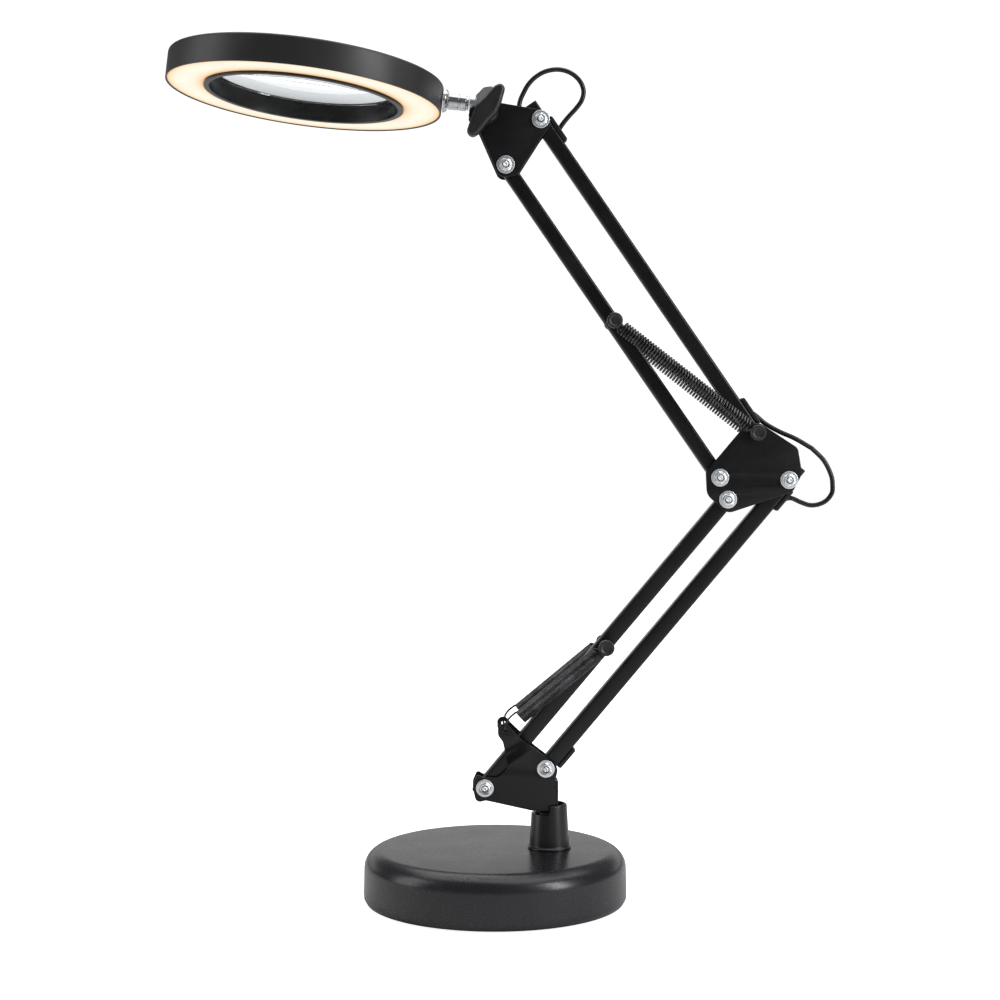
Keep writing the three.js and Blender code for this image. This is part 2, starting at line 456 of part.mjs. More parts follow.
// ----------------------------------------------------------- head, ring frame
const head = frame(RING_C[0], RING_C[1], -RING_TILT);
{
  const toHead = (p) => {
    const v = new THREE.Vector3(p[0], 0, p[1]).applyMatrix4(head.matrixWorld.clone().invert());
    return [v.x, v.z];
  };
  // plated knuckle: round neck opening into the eye that the plates clamp
  const eyeOutline = outline([[-14.1, 474.9, 0.8], [-10.8, 474.0, 3], [-7.2, 478.6, 3], [0.2, 480.6, 5], [4.9, 474.0, 4], [4.9, 454.4, 7],
    [-10.8, 451.6, 6], [-13.4, 461.0, 4], [-15.0, 465.3, 0.8]].map(([x, z, r]) => [...toHead([x, z]), r]), 3);
  const c = toHead(CLAMP);
  const neck = turned([[0, 95.9], [4.9, 95.9], [4.9, 98.6], [0, 98.6]], 16).rotateY(Math.PI / 2);
  add(head, 'head_knuckle', cut(join(sheet(eyeOutline, -5.5, 5.5), neck), rod(3.0, -30, 30, 10).translate(c[0], 0, c[1])), ZINC());
  const roll = new THREE.Group();
  roll.rotation.x = rad(RING_ROLL);
  head.add(roll);
  // shaft and ferrule on the ring's side
  add(roll, 'head_shaft', turned([[0, 83.5], [4.75, 83.5], [4.75, 94.0], [4.1, 94.3], [4.1, 95.6], [0, 95.6]], 16).rotateY(Math.PI / 2), ZINC());
  add(roll, 'ring_ferrule', turned([[0, 80.6], [6.9, 80.6], [6.9, 82.2], [5.9, 83.2], [0, 83.2]], 18).rotateY(Math.PI / 2), ZINC());
  const H = RING_H / 2;
  add(roll, 'ring_housing', turned([[RING_R, -H], [RING_R, H - 1.2], [RING_R - 1.2, H], [54.0, H], [54.0, H - 3.3], [56.4, H - 3.3], [56.4, -5.4],
    [57.9, -5.4], [57.9, H - 1.8], [RING_R - 0.9, H - 1.8], [RING_R - 0.9, -H]], 48), finish(0x222223, 0.45, 0.1));
  add(roll, 'led_board', turned([[58.3, 4.3], [78.4, 4.3], [78.4, 5.9], [58.3, 5.9]], 36), finish(0xe8e8e4, 0.6, 0));
  add(roll, 'diffuser', turned([[58.3, -7.6], [78.9, -7.6], [78.9, -5.8], [58.3, -5.8]], 48), finish(0xfff0dc, 0.4, 0, { emissive: 0xffe2b8, emissiveIntensity: 1 }));
  add(roll, 'lens_bezel', turned([[54.9, -9.0], [58.0, -9.0], [58.5, -8.0], [56.0, -8.0], [56.0, 1.5], [54.9, 1.5]], 48), finish(0x1c1c1d, 0.35, 0));
  const lens = [[0, -1.8]];
  for (let k = 1; k <= 3; k++) { const r = LENS_R * k / 3; lens.push([r, 1.8 - 3.6 * (1 - (k / 3) ** 2)]); }
  for (let k = 3; k >= 1; k--) { const r = LENS_R * k / 3; lens.push([r, 4.4 + 3.4 * (1 - (k / 3) ** 2)]); }
  lens.push([0, 7.8]);
  add(roll, 'lens', turned(lens, 40), finish(0xe6f0f0, 0.02, 0, { transparent: true, opacity: 0.3 }));
}

export default lamp;
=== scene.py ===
"""Magnifying lamp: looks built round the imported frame.  Lengths in the helpers are in
millimetres in the row frame (+Z up, the arm works in X-Z); meshes are made in metres."""
import bpy
import bmesh
import math
import numpy as np
from mathutils import Vector, Matrix


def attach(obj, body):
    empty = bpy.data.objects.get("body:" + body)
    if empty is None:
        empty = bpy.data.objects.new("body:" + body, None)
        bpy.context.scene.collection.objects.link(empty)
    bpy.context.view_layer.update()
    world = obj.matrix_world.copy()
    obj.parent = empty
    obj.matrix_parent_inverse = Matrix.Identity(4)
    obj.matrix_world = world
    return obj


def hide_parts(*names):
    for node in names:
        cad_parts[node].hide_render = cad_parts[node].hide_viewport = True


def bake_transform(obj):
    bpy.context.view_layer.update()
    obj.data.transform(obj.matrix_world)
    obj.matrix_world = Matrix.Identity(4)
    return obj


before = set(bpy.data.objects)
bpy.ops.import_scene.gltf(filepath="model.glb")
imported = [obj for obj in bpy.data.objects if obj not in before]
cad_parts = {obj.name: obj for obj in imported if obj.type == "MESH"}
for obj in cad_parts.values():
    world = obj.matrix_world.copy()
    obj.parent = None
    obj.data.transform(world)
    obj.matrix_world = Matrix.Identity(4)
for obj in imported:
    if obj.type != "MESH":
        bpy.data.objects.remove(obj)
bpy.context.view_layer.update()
scene = bpy.context.scene
scene.view_settings.view_transform = "Standard"
scene.view_settings.look = "None"
scene.view_settings.exposure = 0.0

# ------------------------------------------------------------------ camera
cam_data = bpy.data.cameras.new("camera")
cam_data.sensor_width = 36.0
cam_data.lens = 69.73
cam_data.clip_start, cam_data.clip_end = 0.01, 100.0
cam = bpy.data.objects.new("camera", cam_data)
cam.location = (-0.0134, -1.1362, 0.2771)
cam.rotation_euler = (math.radians(87.98), 0.0, math.radians(-0.82))
scene.collection.objects.link(cam)
scene.camera = cam

# ------------------------------------------------------------ main dimensions
rad = math.radians


def polar(p, length, deg):
    return np.array([p[0] + length * math.cos(rad(deg)), p[1] + length * math.sin(rad(deg))])


BASE_R, BASE_H, BASE_ROUND = 77.5, 31.5, 10.5
POST_X = 32.0
LOWER_ANGLE, UPPER_ANGLE = 50.0, 124.6
ARM_LOWER, ARM_UPPER = 221.0, 220.5
LOWER_TUBE, UPPER_TUBE = 9.2, 8.6
BOT_A = np.array([-6.1, 68.2])
BOT_B = BOT_A + [35.7, 11.4]
EL_B = polar(BOT_A, ARM_LOWER, LOWER_ANGLE)
EL_C = polar(BOT_B, ARM_LOWER, LOWER_ANGLE)
EL_A = EL_B + [-4.7, 12.8]
EL_D = EL_A + [20.3, 26.2]
HEAD_LOW = polar(EL_A, ARM_UPPER, UPPER_ANGLE)
HEAD_UP = polar(EL_D, ARM_UPPER, UPPER_ANGLE)
LOWER_POST = polar(BOT_A, 109.4, LOWER_ANGLE)
UPPER_POST = polar(EL_A, 110.3, UPPER_ANGLE)
EAR = np.array([5.2, 103.3])
CLAMP = np.array([-4.7, 461.0])
RING_C = np.array([-110.3, 479.0])
RING_R, RING_H = 80.2, 16.2
PLATE_IN, PLATE_OUT = 5.9, 7.5
SPRING_Y = 14.5

# ------------------------------------------------------------------- helpers


def place(x, z, deg=0.0, roll=0.0):
    """Local +X raised by deg in the X-Z plane at (x, z); roll turns about local X first."""
    d, r = rad(deg), rad(roll)
    A = np.array([[math.cos(d), 0, -math.sin(d)], [0, 1, 0], [math.sin(d), 0, math.cos(d)]])
    B = np.array([[1, 0, 0], [0, math.cos(r), -math.sin(r)], [0, math.sin(r), math.cos(r)]])
    M = np.eye(4)
    M[:3, :3] = A @ B
    M[:3, 3] = (x, 0, z)
    return M


HEAD_M = place(RING_C[0], RING_C[1], -6.5)
RING_M = place(RING_C[0], RING_C[1], -6.5, -3.2)


def apply(M, pts):
    pts = np.asarray(pts, float)
    return pts @ M[:3, :3].T + M[:3, 3]


def fillet(corners, steps=6, closed=True):
    pts = []
    n = len(corners)
    for i, c in enumerate(corners):
        x, z = c[0], c[1]
        r = c[2] if len(c) > 2 else 0
        if not closed and i in (0, n - 1):
            r = 0
        if not r:
            pts.append((x, z))
            continue
        a = np.array(corners[(i - 1) % n][:2], float) - (x, z)
        b = np.array(corners[(i + 1) % n][:2], float) - (x, z)
        la, lb = np.hypot(*a), np.hypot(*b)
        a, b = a / la, b / lb
        half = math.acos(max(-1, min(1, float(a @ b)))) / 2
        if half > 1.568:
            pts.append((x, z))
            continue
        reach = min(r / math.tan(half), la * 0.499, lb * 0.499)
        rr = reach * math.tan(half)
        mid = (a + b) / np.hypot(*(a + b)) * (rr / math.sin(half)) + (x, z)
        p0, p1 = a * reach + (x, z), b * reach + (x, z)
        a0 = math.atan2(p0[1] - mid[1], p0[0] - mid[0])
        da = math.atan2(p1[1] - mid[1], p1[0] - mid[0]) - a0
        while da > math.pi:
            da -= 2 * math.pi
        while da < -math.pi:
            da += 2 * math.pi
        for k in range(steps + 1):
            t = a0 + da * k / steps
            pts.append((mid[0] + rr * math.cos(t), mid[1] + rr * math.sin(t)))
    return pts


def finish_mesh(me, sharp=35.0, merge=2e-6):
    bm = bmesh.new()
    bm.from_mesh(me)
    if merge:
        bmesh.ops.remove_doubles(bm, verts=bm.verts, dist=merge)
    bmesh.ops.dissolve_degenerate(bm, edges=bm.edges, dist=1e-7)
    loose = [v for v in bm.verts if not v.link_faces]
    if loose:
        bmesh.ops.delete(bm, geom=loose, context="VERTS")
    bmesh.ops.recalc_face_normals(bm, faces=bm.faces)
    lim = rad(sharp)
    for e in bm.edges:
        e.smooth = not (len(e.link_faces) == 2 and e.calc_face_angle(0.0) > lim)
    for f in bm.faces:
        f.smooth = True
    bm.to_mesh(me)
    bm.free()
    me.update()


def add(name, verts, faces, mat, body=None, node=(), M=None, sharp=35.0, slot=None):
    v = np.asarray(verts, float)
    if M is not None:
        v = apply(M, v)
    me = bpy.data.meshes.new(name)
    me.from_pydata((v * 0.001).tolist(), [], faces)
    finish_mesh(me, sharp)
    ob = bpy.data.objects.new(name, me)
    scene.collection.objects.link(ob)
    return settle(ob, mat, body, node)


def settle(ob, mat, body=None, node=()):
    ob.data.materials.clear()
    ob.data.materials.append(mat)
    if body:
        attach(ob, body)
    if isinstance(node, str):
        node = (node,)
    if node:
        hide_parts(*node)
    return ob


def lathe_data(profile, segs=96, steps=6):
    """Closed profile of [r, z, fillet]; starts and ends on the axis or closes on itself."""
    prof = fillet(profile, steps, closed=True)
    on_axis = abs(prof[0][0]) < 1e-9 and abs(prof[-1][0]) < 1e-9
    rings, verts, faces = [], [], []
    for r, z in prof:
        if abs(r) < 1e-9:
            rings.append([len(verts)])
            verts.append((0, 0, z))
        else:
            rings.append(list(range(len(verts), len(verts) + segs)))
            for k in range(segs):
                t = 2 * math.pi * k / segs
                verts.append((r * math.cos(t), r * math.sin(t), z))
    pairs = list(zip(rings[:-1], rings[1:]))
    if not on_axis:
        pairs.append((rings[-1], rings[0]))
    for A, B in pairs:
        if len(A) == 1 and len(B) == 1:
            continue
        for k in range(segs):
            j = (k + 1) % segs
            if len(A) == 1:
                faces.append((A[0], B[j], B[k]))
            elif len(B) == 1:
                faces.append((A[k], A[j], B[0]))
            else:
                faces.append((A[k], A[j], B[j], B[k]))
    return np.array(verts), faces


TO_Y = np.array([[1, 0, 0, 0], [0, 0, 1, 0], [0, -1, 0, 0], [0, 0, 0, 1.0]])   # local z -> +y
TO_X = np.array([[0, 0, 1, 0], [0, 1, 0, 0], [-1, 0, 0, 0], [0, 0, 0, 1.0]])   # local z -> +x


def lathe(name, profile, mat, body=None, node=(), M=None, segs=96, axis="z", steps=6, sharp=35.0, slot=None):
    v, f = lathe_data(profile, segs, steps)
    if axis == "y":
        v = apply(TO_Y, v)
    elif axis == "x":
        v = apply(TO_X, v)
    return add(name, v, f, mat, body, node, M, sharp, slot)


def joined(parts):
    verts, faces, n = [], [], 0
    for v, f in parts:
        verts.append(np.asarray(v, float))
        faces += [tuple(i + n for i in q) for q in f]
        n += len(v)
    return np.concatenate(verts), faces


def slab_mesh(name, pts, holes, y0, y1, bevel=0.3, segs=2):
    """Flat plate with an X-Z outline, rounded edges and round holes; returns a mesh in metres."""
    cu = bpy.data.curves.new(name, "CURVE")
    cu.dimensions = "2D"
    cu.fill_mode = "BOTH"
    loops = [np.array(pts, float)]
    for hx, hz, hr in holes:
        t = np.linspace(0, 2 * math.pi, 25)[:-1]
        loops.append(np.c_[hx + hr * np.cos(-t), hz + hr * np.sin(-t)])
    for L in loops:
        sp = cu.splines.new("POLY")
        sp.points.add(len(L) - 1)
        co = np.zeros((len(L), 4))
        co[:, :2] = L
        co[:, 3] = 1
        sp.points.foreach_set("co", co.ravel())
        sp.use_cyclic_u = True
    cu.extrude = max(0.0, (y1 - y0) / 2 - bevel)
    cu.bevel_depth = bevel
    cu.bevel_resolution = segs
    cu.offset = -bevel
    ob = bpy.data.objects.new(name + "_tmp", cu)
    scene.collection.objects.link(ob)
    bpy.context.view_layer.update()
    dg = bpy.context.evaluated_depsgraph_get()
    me = bpy.data.meshes.new_from_object(ob.evaluated_get(dg))
    bpy.data.objects.remove(ob)
    bpy.data.curves.remove(cu)
    mid = (y0 + y1) / 2
    co = np.zeros(len(me.vertices) * 3)
    me.vertices.foreach_get("co", co)
    co = co.reshape(-1, 3)
    out = np.c_[co[:, 0], mid - co[:, 2], co[:, 1]] * 0.001
    me.vertices.foreach_set("co", out.ravel())
    me.name = name
    return me


def slab(name, pts, holes, y0, y1, mat, body=None, node=(), bevel=0.3, M=None, segs=2, sharp=40.0):
    me = slab_mesh(name, pts, holes, y0, y1, bevel, segs)
    if M is not None:
        S = Matrix(M.tolist())
        S.translation = S.translation * 0.001
        me.transform(S)
    finish_mesh(me, sharp, merge=2e-6)
    ob = bpy.data.objects.new(name, me)
    scene.collection.objects.link(ob)
    return settle(ob, mat, body, node)


def catmull(points, per=8):
    P = np.array(points, float)
    if P.shape[1] == 2:
        P = np.c_[P[:, 0], np.zeros(len(P)), P[:, 1]]
    P = np.vstack([2 * P[0] - P[1], P, 2 * P[-1] - P[-2]])
    out = []
    for i in range(1, len(P) - 2):
        p0, p1, p2, p3 = P[i - 1:i + 3]
        t0 = 0.0
        t1 = t0 + np.linalg.norm(p1 - p0) ** 0.5
        t2 = t1 + np.linalg.norm(p2 - p1) ** 0.5
        t3 = t2 + np.linalg.norm(p3 - p2) ** 0.5
        for k in range(per):
            t = t1 + (t2 - t1) * k / per
            a1 = (t1 - t) / (t1 - t0) * p0 + (t - t0) / (t1 - t0) * p1
            a2 = (t2 - t) / (t2 - t1) * p1 + (t - t1) / (t2 - t1) * p2
            a3 = (t3 - t) / (t3 - t2) * p2 + (t - t2) / (t3 - t2) * p3
            b1 = (t2 - t) / (t2 - t0) * a1 + (t - t0) / (t2 - t0) * a2
            b2 = (t3 - t) / (t3 - t1) * a2 + (t - t1) / (t3 - t1) * a3
            out.append((t2 - t) / (t2 - t1) * b1 + (t - t1) / (t2 - t1) * b2)
    out.append(P[-2])
    return np.array(out)


def sweep_data(path, r, sides=12):
    """Tube along a path with slightly rounded ends."""
    P = np.asarray(path, float)
    keep = np.r_[True, np.linalg.norm(np.diff(P, axis=0), axis=1) > 1e-5]
    P = P[keep]
    T = np.gradient(P, axis=0)
    T /= np.linalg.norm(T, axis=1)[:, None]
    up = np.array([0, 1, 0.0]) if abs(T[0][1]) < 0.9 else np.array([1, 0, 0.0])
    N = up - T[0] * (up @ T[0])
    N /= np.linalg.norm(N)
    R = np.broadcast_to(np.asarray(r, float), (len(P),)).copy()
    verts, faces, rows = [], [], []

    def ring(c, n, b, rr):
        i0 = len(verts)
        for k in range(sides):
            t = 2 * math.pi * k / sides
            verts.append(c + rr * (math.cos(t) * n + math.sin(t) * b))
        rows.append(list(range(i0, i0 + sides)))
    for i in range(len(P)):
        if i:
            N = N - T[i] * (N @ T[i])
            N /= np.linalg.norm(N)
        B = np.cross(T[i], N)
        if i == 0:
            ring(P[0] - T[0] * 0.22 * R[0], N, B, R[0] * 0.62)
        ring(P[i], N, B, R[i])
        if i == len(P) - 1:
            ring(P[i] + T[i] * 0.22 * R[i], N, B, R[i] * 0.62)
    for A, C in zip(rows[:-1], rows[1:]):
        for k in range(sides):
            j = (k + 1) % sides
            faces.append((A[k], A[j], C[j], C[k]))
    faces.append(tuple(reversed(rows[0])))
    faces.append(tuple(rows[-1]))
    return np.array(verts), faces


def boolean(ob, cutter, op="DIFFERENCE", remove=True, sharp=35.0):
    m = ob.modifiers.new("b", "BOOLEAN")
    m.operation = op
    m.solver = "EXACT"
    m.object = cutter
    bpy.context.view_layer.update()
    dg = bpy.context.evaluated_depsgraph_get()
    me = bpy.data.meshes.new_from_object(ob.evaluated_get(dg))
    ob.modifiers.clear()
    old = ob.data
    ob.data = me
    me.name = old.name
    finish_mesh(me, sharp, merge=1e-6)
    if remove:
        bpy.data.objects.remove(cutter)
    return ob


def melted(name, parts, voxel, mat, body=None, node=(), smooth=4, M=None, cutters=()):
    """Several closed shapes fused into one cast-looking body."""
    v, f = joined(parts)
    if M is not None:
        v = apply(M, v)
    me = bpy.data.meshes.new(name)
    me.from_pydata((v * 0.001).tolist(), [], f)
    bm = bmesh.new()
    bm.from_mesh(me)
    bmesh.ops.recalc_face_normals(bm, faces=bm.faces)
    bm.to_mesh(me)
    bm.free()
    ob = bpy.data.objects.new(name, me)
    scene.collection.objects.link(ob)
    r = ob.modifiers.new("r", "REMESH")
    r.mode = "VOXEL"
    r.voxel_size = voxel * 0.001
    s = ob.modifiers.new("s", "SMOOTH")
    s.factor, s.iterations = 0.5, smooth
    bpy.context.view_layer.update()
    dg = bpy.context.evaluated_depsgraph_get()
    new = bpy.data.meshes.new_from_object(ob.evaluated_get(dg))
    ob.modifiers.clear()
    ob.data = new
    for c in cutters:
        boolean(ob, c, sharp=50)
    finish_mesh(ob.data, 50, merge=0)
    return settle(ob, mat, body, node)


# ----------------------------------------------------------------- materials


def base_mat(name, base, rough, metallic=0.0, specular=0.5):
    m = bpy.data.materials.new(name)
    m.use_nodes = True
    nt = m.node_tree
    b = nt.nodes["Principled BSDF"]
    b.inputs["Base Color"].default_value = (*base, 1)
    b.inputs["Roughness"].default_value = rough
    b.inputs["Metallic"].default_value = metallic
    b.inputs["Specular IOR Level"].default_value = specular
    return m, nt, b


def noise(nt, scale, detail=3.0, rough=0.55, stretch=None):
    tc = nt.nodes.new("ShaderNodeTexCoord")
    n = nt.nodes.new("ShaderNodeTexNoise")
    n.inputs["Scale"].default_value = scale
    n.inputs["Detail"].default_value = detail
    n.inputs["Roughness"].default_value = rough
    if stretch:
        mp = nt.nodes.new("ShaderNodeMapping")
        mp.inputs["Scale"].default_value = stretch[0]
        mp.inputs["Rotation"].default_value = stretch[1]
        nt.links.new(tc.outputs["Object"], mp.inputs["Vector"])
        nt.links.new(mp.outputs["Vector"], n.inputs["Vector"])
    else:
        nt.links.new(tc.outputs["Object"], n.inputs["Vector"])
    return n


def remap(nt, src, lo, hi, a=0.0, b=1.0):
    r = nt.nodes.new("ShaderNodeMapRange")
    r.inputs["From Min"].default_value = a
    r.inputs["From Max"].default_value = b
    r.inputs["To Min"].default_value = lo
    r.inputs["To Max"].default_value = hi
    nt.links.new(src, r.inputs["Value"])
    return r.outputs["Result"]


def mixcol(nt, fac, c1, c2):
    r = nt.nodes.new("ShaderNodeMix")
    r.data_type = "RGBA"
    nt.links.new(fac, r.inputs[0])
    if isinstance(c1, tuple):
        r.inputs[6].default_value = (*c1, 1)
    else:
        nt.links.new(c1, r.inputs[6])
    if isinstance(c2, tuple):
        r.inputs[7].default_value = (*c2, 1)
    else:
        nt.links.new(c2, r.inputs[7])
    return r.outputs[2]


def bump(nt, b, height, strength, dist):
    k = nt.nodes.new("ShaderNodeBump")
    k.inputs["Strength"].default_value = strength
    k.inputs["Distance"].default_value = dist
    nt.links.new(height, k.inputs["Height"])
    nt.links.new(k.outputs["Normal"], b.inputs["Normal"])
    return k


def satin(name, base, rough, spread=0.06, grain=1400.0, bump_s=0.12, wear=0.35, edge=(0.09, 0.09, 0.092), mottle=0.35, spec=0.5, streak=None):
    """Dark painted or moulded surface: mottled colour, uneven gloss, fine grain, rubbed edges."""
    m, nt, b = base_mat(name, base, rough, 0.0, spec)
    big = noise(nt, 38.0, 4.0, 0.6, streak)
    fine = noise(nt, grain, 2.0, 0.5)
    mid = noise(nt, 260.0, 3.0, 0.6)
    c = mixcol(nt, remap(nt, big.outputs["Fac"], 0, 1, 0.32, 0.68),
               tuple(x * (1 - mottle) for x in base), tuple(x * (1 + mottle) for x in base))
    if wear:
        geo = nt.nodes.new("ShaderNodeNewGeometry")
        p = remap(nt, geo.outputs["Pointiness"], 0.0, 1.0, 0.53, 0.62)
        mul = nt.nodes.new("ShaderNodeMath")
        mul.operation = "MULTIPLY"
        nt.links.new(p, mul.inputs[0])
        nt.links.new(remap(nt, mid.outputs["Fac"], 0.0, wear, 0.38, 0.7), mul.inputs[1])
        c = mixcol(nt, mul.outputs[0], c, edge)
    nt.links.new(c, b.inputs["Base Color"])
    add_ = nt.nodes.new("ShaderNodeMath")
    add_.operation = "ADD"
    nt.links.new(remap(nt, big.outputs["Fac"], rough - spread, rough + spread, 0.3, 0.7), add_.inputs[0])
    nt.links.new(remap(nt, fine.outputs["Fac"], -0.03, 0.03, 0.3, 0.7), add_.inputs[1])
    nt.links.new(add_.outputs[0], b.inputs["Roughness"])
    bump(nt, b, fine.outputs["Fac"], bump_s, 0.0002)
    return m


def metal(name, base, rough, spread=0.08, scale=500.0, bump_s=0.05, tint=None, stretch=None):
    m, nt, b = base_mat(name, base, rough, 1.0)
    n = noise(nt, scale, 3.0, 0.6, stretch)
    w = noise(nt, 90.0, 3.0, 0.6)
    c2 = tint or tuple(x * 0.82 for x in base)
    nt.links.new(mixcol(nt, remap(nt, w.outputs["Fac"], 0, 1, 0.35, 0.7), base, c2), b.inputs["Base Color"])
    nt.links.new(remap(nt, n.outputs["Fac"], rough - spread, rough + spread, 0.3, 0.7), b.inputs["Roughness"])
    bump(nt, b, n.outputs["Fac"], bump_s, 0.0001)
    return m


M_BASE = satin("base_moulding", (0.0150, 0.0138, 0.0165), 0.28, 0.02, 1500, 0.10, 0.2, mottle=0.12)
M_POST = satin("socket_moulding", (0.009, 0.009, 0.0098), 0.33, 0.02, 1300, 0.04, 0.2, mottle=0.15)
M_BAR = satin("bar_paint", (0.0045, 0.0045, 0.0048), 0.30, 0.05, 1100, 0.08, 0.5, edge=(0.04, 0.04, 0.042), spec=0.42)
M_PLATE = satin("plate_paint", (0.0045, 0.0044, 0.0052), 0.36, 0.05, 900, 0.10, 0.8, edge=(0.07, 0.07, 0.072), spec=0.42)
M_CAP = satin("cap_moulding", (0.019, 0.019, 0.020), 0.38, 0.05, 1500, 0.06, 0.6, edge=(0.05, 0.05, 0.052))
M_CLIP = satin("clip_moulding", (0.009, 0.009, 0.0095), 0.38, 0.05, 1300, 0.10, 0.4)
M_RING = satin("ring_moulding", (0.021, 0.021, 0.0215), 0.44, 0.03, 1700, 0.20, 0.2, mottle=0.15)
M_BEZEL = satin("bezel_moulding", (0.010, 0.010, 0.0105), 0.30, 0.03, 1700, 0.08, 0.3)
M_CORD = satin("cord_jacket", (0.0065, 0.0065, 0.007), 0.29, 0.04, 1200, 0.05, 0.0)
M_FOAM = satin("foam_foot", (0.012, 0.012, 0.012), 0.95, 0.03, 900, 0.6, 0.0, mottle=0.4)
M_SHEET = satin("bottom_paint", (0.02, 0.02, 0.02), 0.5, 0.06, 900, 0.2, 0.4)
M_CAST = satin("cast_ballast", (0.07, 0.068, 0.066), 0.75, 0.1, 500, 0.8, 0.3, edge=(0.2, 0.2, 0.2))
M_ZINC = metal("zinc_plating", (0.95, 0.97, 0.98), 0.38, 0.05, 700, 0.02, tint=(0.86, 0.90, 0.92))
M_CHROME = metal("chrome_plating", (0.62, 0.63, 0.64), 0.20, 0.03, 160, 0.003, tint=(0.50, 0.51, 0.53))
M_KNUCKLE = metal("cast_plating", (0.70, 0.71, 0.72), 0.36, 0.04, 200, 0.006, tint=(0.72, 0.73, 0.75))
M_WIRE = metal("spring_wire", (0.11, 0.11, 0.113), 0.28, 0.06, 900, 0.04, tint=(0.025, 0.025, 0.026))
M_INSERT = satin("nylon_insert", (0.05, 0.055, 0.06), 0.45, 0.05, 1500, 0.05, 0.0)
M_BOARD = satin("board_white", (0.75, 0.75, 0.73), 0.5, 0.05, 600, 0.05, 0.0, mottle=0.06)


def diffuser_material():
    m, nt, b = base_mat("lit_diffuser", (0.25, 0.23, 0.20), 0.32)
    tc = nt.nodes.new("ShaderNodeTexCoord")
    geo_to_ring = nt.nodes.new("ShaderNodeVectorTransform")
    # distance from the ring's axis, in millimetres
    sub = nt.nodes.new("ShaderNodeVectorMath")
    sub.operation = "SUBTRACT"
    sub.inputs[1].default_value = (RING_C[0] * 0.001, 0, RING_C[1] * 0.001)
    nt.links.new(tc.outputs["Object"], sub.inputs[0])
    nt.nodes.remove(geo_to_ring)
    ax = RING_M[:3, 2]
    cr = nt.nodes.new("ShaderNodeVectorMath")
    cr.operation = "CROSS_PRODUCT"
    cr.inputs[1].default_value = tuple(ax)
    nt.links.new(sub.outputs[0], cr.inputs[0])
    ln = nt.nodes.new("ShaderNodeVectorMath")
    ln.operation = "LENGTH"
    nt.links.new(cr.outputs[0], ln.inputs[0])
    ramp = nt.nodes.new("ShaderNodeValToRGB")
    el = ramp.color_ramp.elements
    el[0].position, el[0].color = 0.0, (0.72, 0.36, 0.12, 1)
    el[1].position, el[1].color = 1.0, (0.80, 0.44, 0.17, 1)
    for pos, col in ((0.10, (0.92, 0.64, 0.36, 1)), (0.28, (0.97, 0.83, 0.63, 1)), (0.52, (0.97, 0.88, 0.72, 1)), (0.80, (0.97, 0.84, 0.64, 1)), (0.94, (0.92, 0.66, 0.38, 1))):
        e = el.new(pos)
        e.color = col
    nt.links.new(remap(nt, ln.outputs["Value"], 0.0, 1.0, 0.0583, 0.0790), ramp.inputs["Fac"])
    n = noise(nt, 45.0, 2.0)
    st = remap(nt, n.outputs["Fac"], 0.80, 0.88, 0.3, 0.7)
    nt.links.new(ramp.outputs["Color"], b.inputs["Emission Color"])
    nt.links.new(st, b.inputs["Emission Strength"])
    nt.links.new(mixcol(nt, remap(nt, n.outputs["Fac"], 0, 1, 0.3, 0.7), (0.25, 0.23, 0.20), (0.23, 0.21, 0.18)), b.inputs["Base Color"])
    fine = noise(nt, 1500.0, 2.0)
    nt.links.new(remap(nt, fine.outputs["Fac"], 0.27, 0.38, 0.3, 0.7), b.inputs["Roughness"])
    bump(nt, b, fine.outputs["Fac"], 0.06, 0.0002)
    return m


def glass_material():
    m, nt, b = base_mat("lens_glass", (0.97, 0.99, 1.0), 0.02)
    b.inputs["Transmission Weight"].default_value = 1.0
    b.inputs["IOR"].default_value = 1.5
    n = noise(nt, 60.0, 3.0)
    nt.links.new(remap(nt, n.outputs["Fac"], 0.01, 0.035, 0.35, 0.75), b.inputs["Roughness"])
    nt.links.new(mixcol(nt, remap(nt, n.outputs["Fac"], 0, 1, 0.3, 0.7), (0.95, 0.985, 1.0), (0.93, 0.975, 0.99)), b.inputs["Base Color"])
    return m


M_DIFFUSER = diffuser_material()
M_GLASS = glass_material()

# -------------------------------------------------------------------- cords
up_dir = np.array([math.cos(rad(UPPER_ANGLE)), math.sin(rad(UPPER_ANGLE))])
up_out = np.array([math.sin(rad(UPPER_ANGLE)), -math.cos(rad(UPPER_ANGLE))])
lo_dir = np.array([math.cos(rad(LOWER_ANGLE)), math.sin(rad(LOWER_ANGLE))])
lo_out = np.array([math.sin(rad(LOWER_ANGLE)), -math.cos(rad(LOWER_ANGLE))])


def on_upper(s, n):
    return tuple(EL_D + s * up_dir + n * up_out)


def on_lower(s, n):
    return tuple(BOT_B + s * lo_dir + n * lo_out)


HEAD_LOOP = [(13.9, 464.4), (14.0, 465.8), (14.1, 467.4), (14.9, 470.7), (16.7, 474.6), (19.3, 479.2), (23.3, 483.4), (28.2, 486.4),
             (33.2, 487.8), (37.9, 487.9), (42.6, 486.7), (47.1, 483.9), (50.4, 479.7), (51.6, 474.9), (50.4, 470.0), (47.3, 465.6), (43.9, 461.9), (40.9, 458.4), (38.6, 455.3), (36.9, 452.2),
             on_upper(206.8, 3.4), on_upper(201.8, 1.2), on_upper(196, 0.2)]
UPPER_RUN = [on_upper(196, 0.2), on_upper(190, 0), on_upper(150, 0), on_upper(110, 0), on_upper(70, 0), on_upper(32, 0), on_upper(24, 0.1)]
ELBOW_LOOP_A = [on_upper(24, 0.1), on_upper(18.5, 0.9), on_upper(13.6, 3.4), on_upper(9.2, 6.3),
                (158.6, 281.9), (166.7, 277.3), (176.2, 273.1), (186.2, 267.3)]
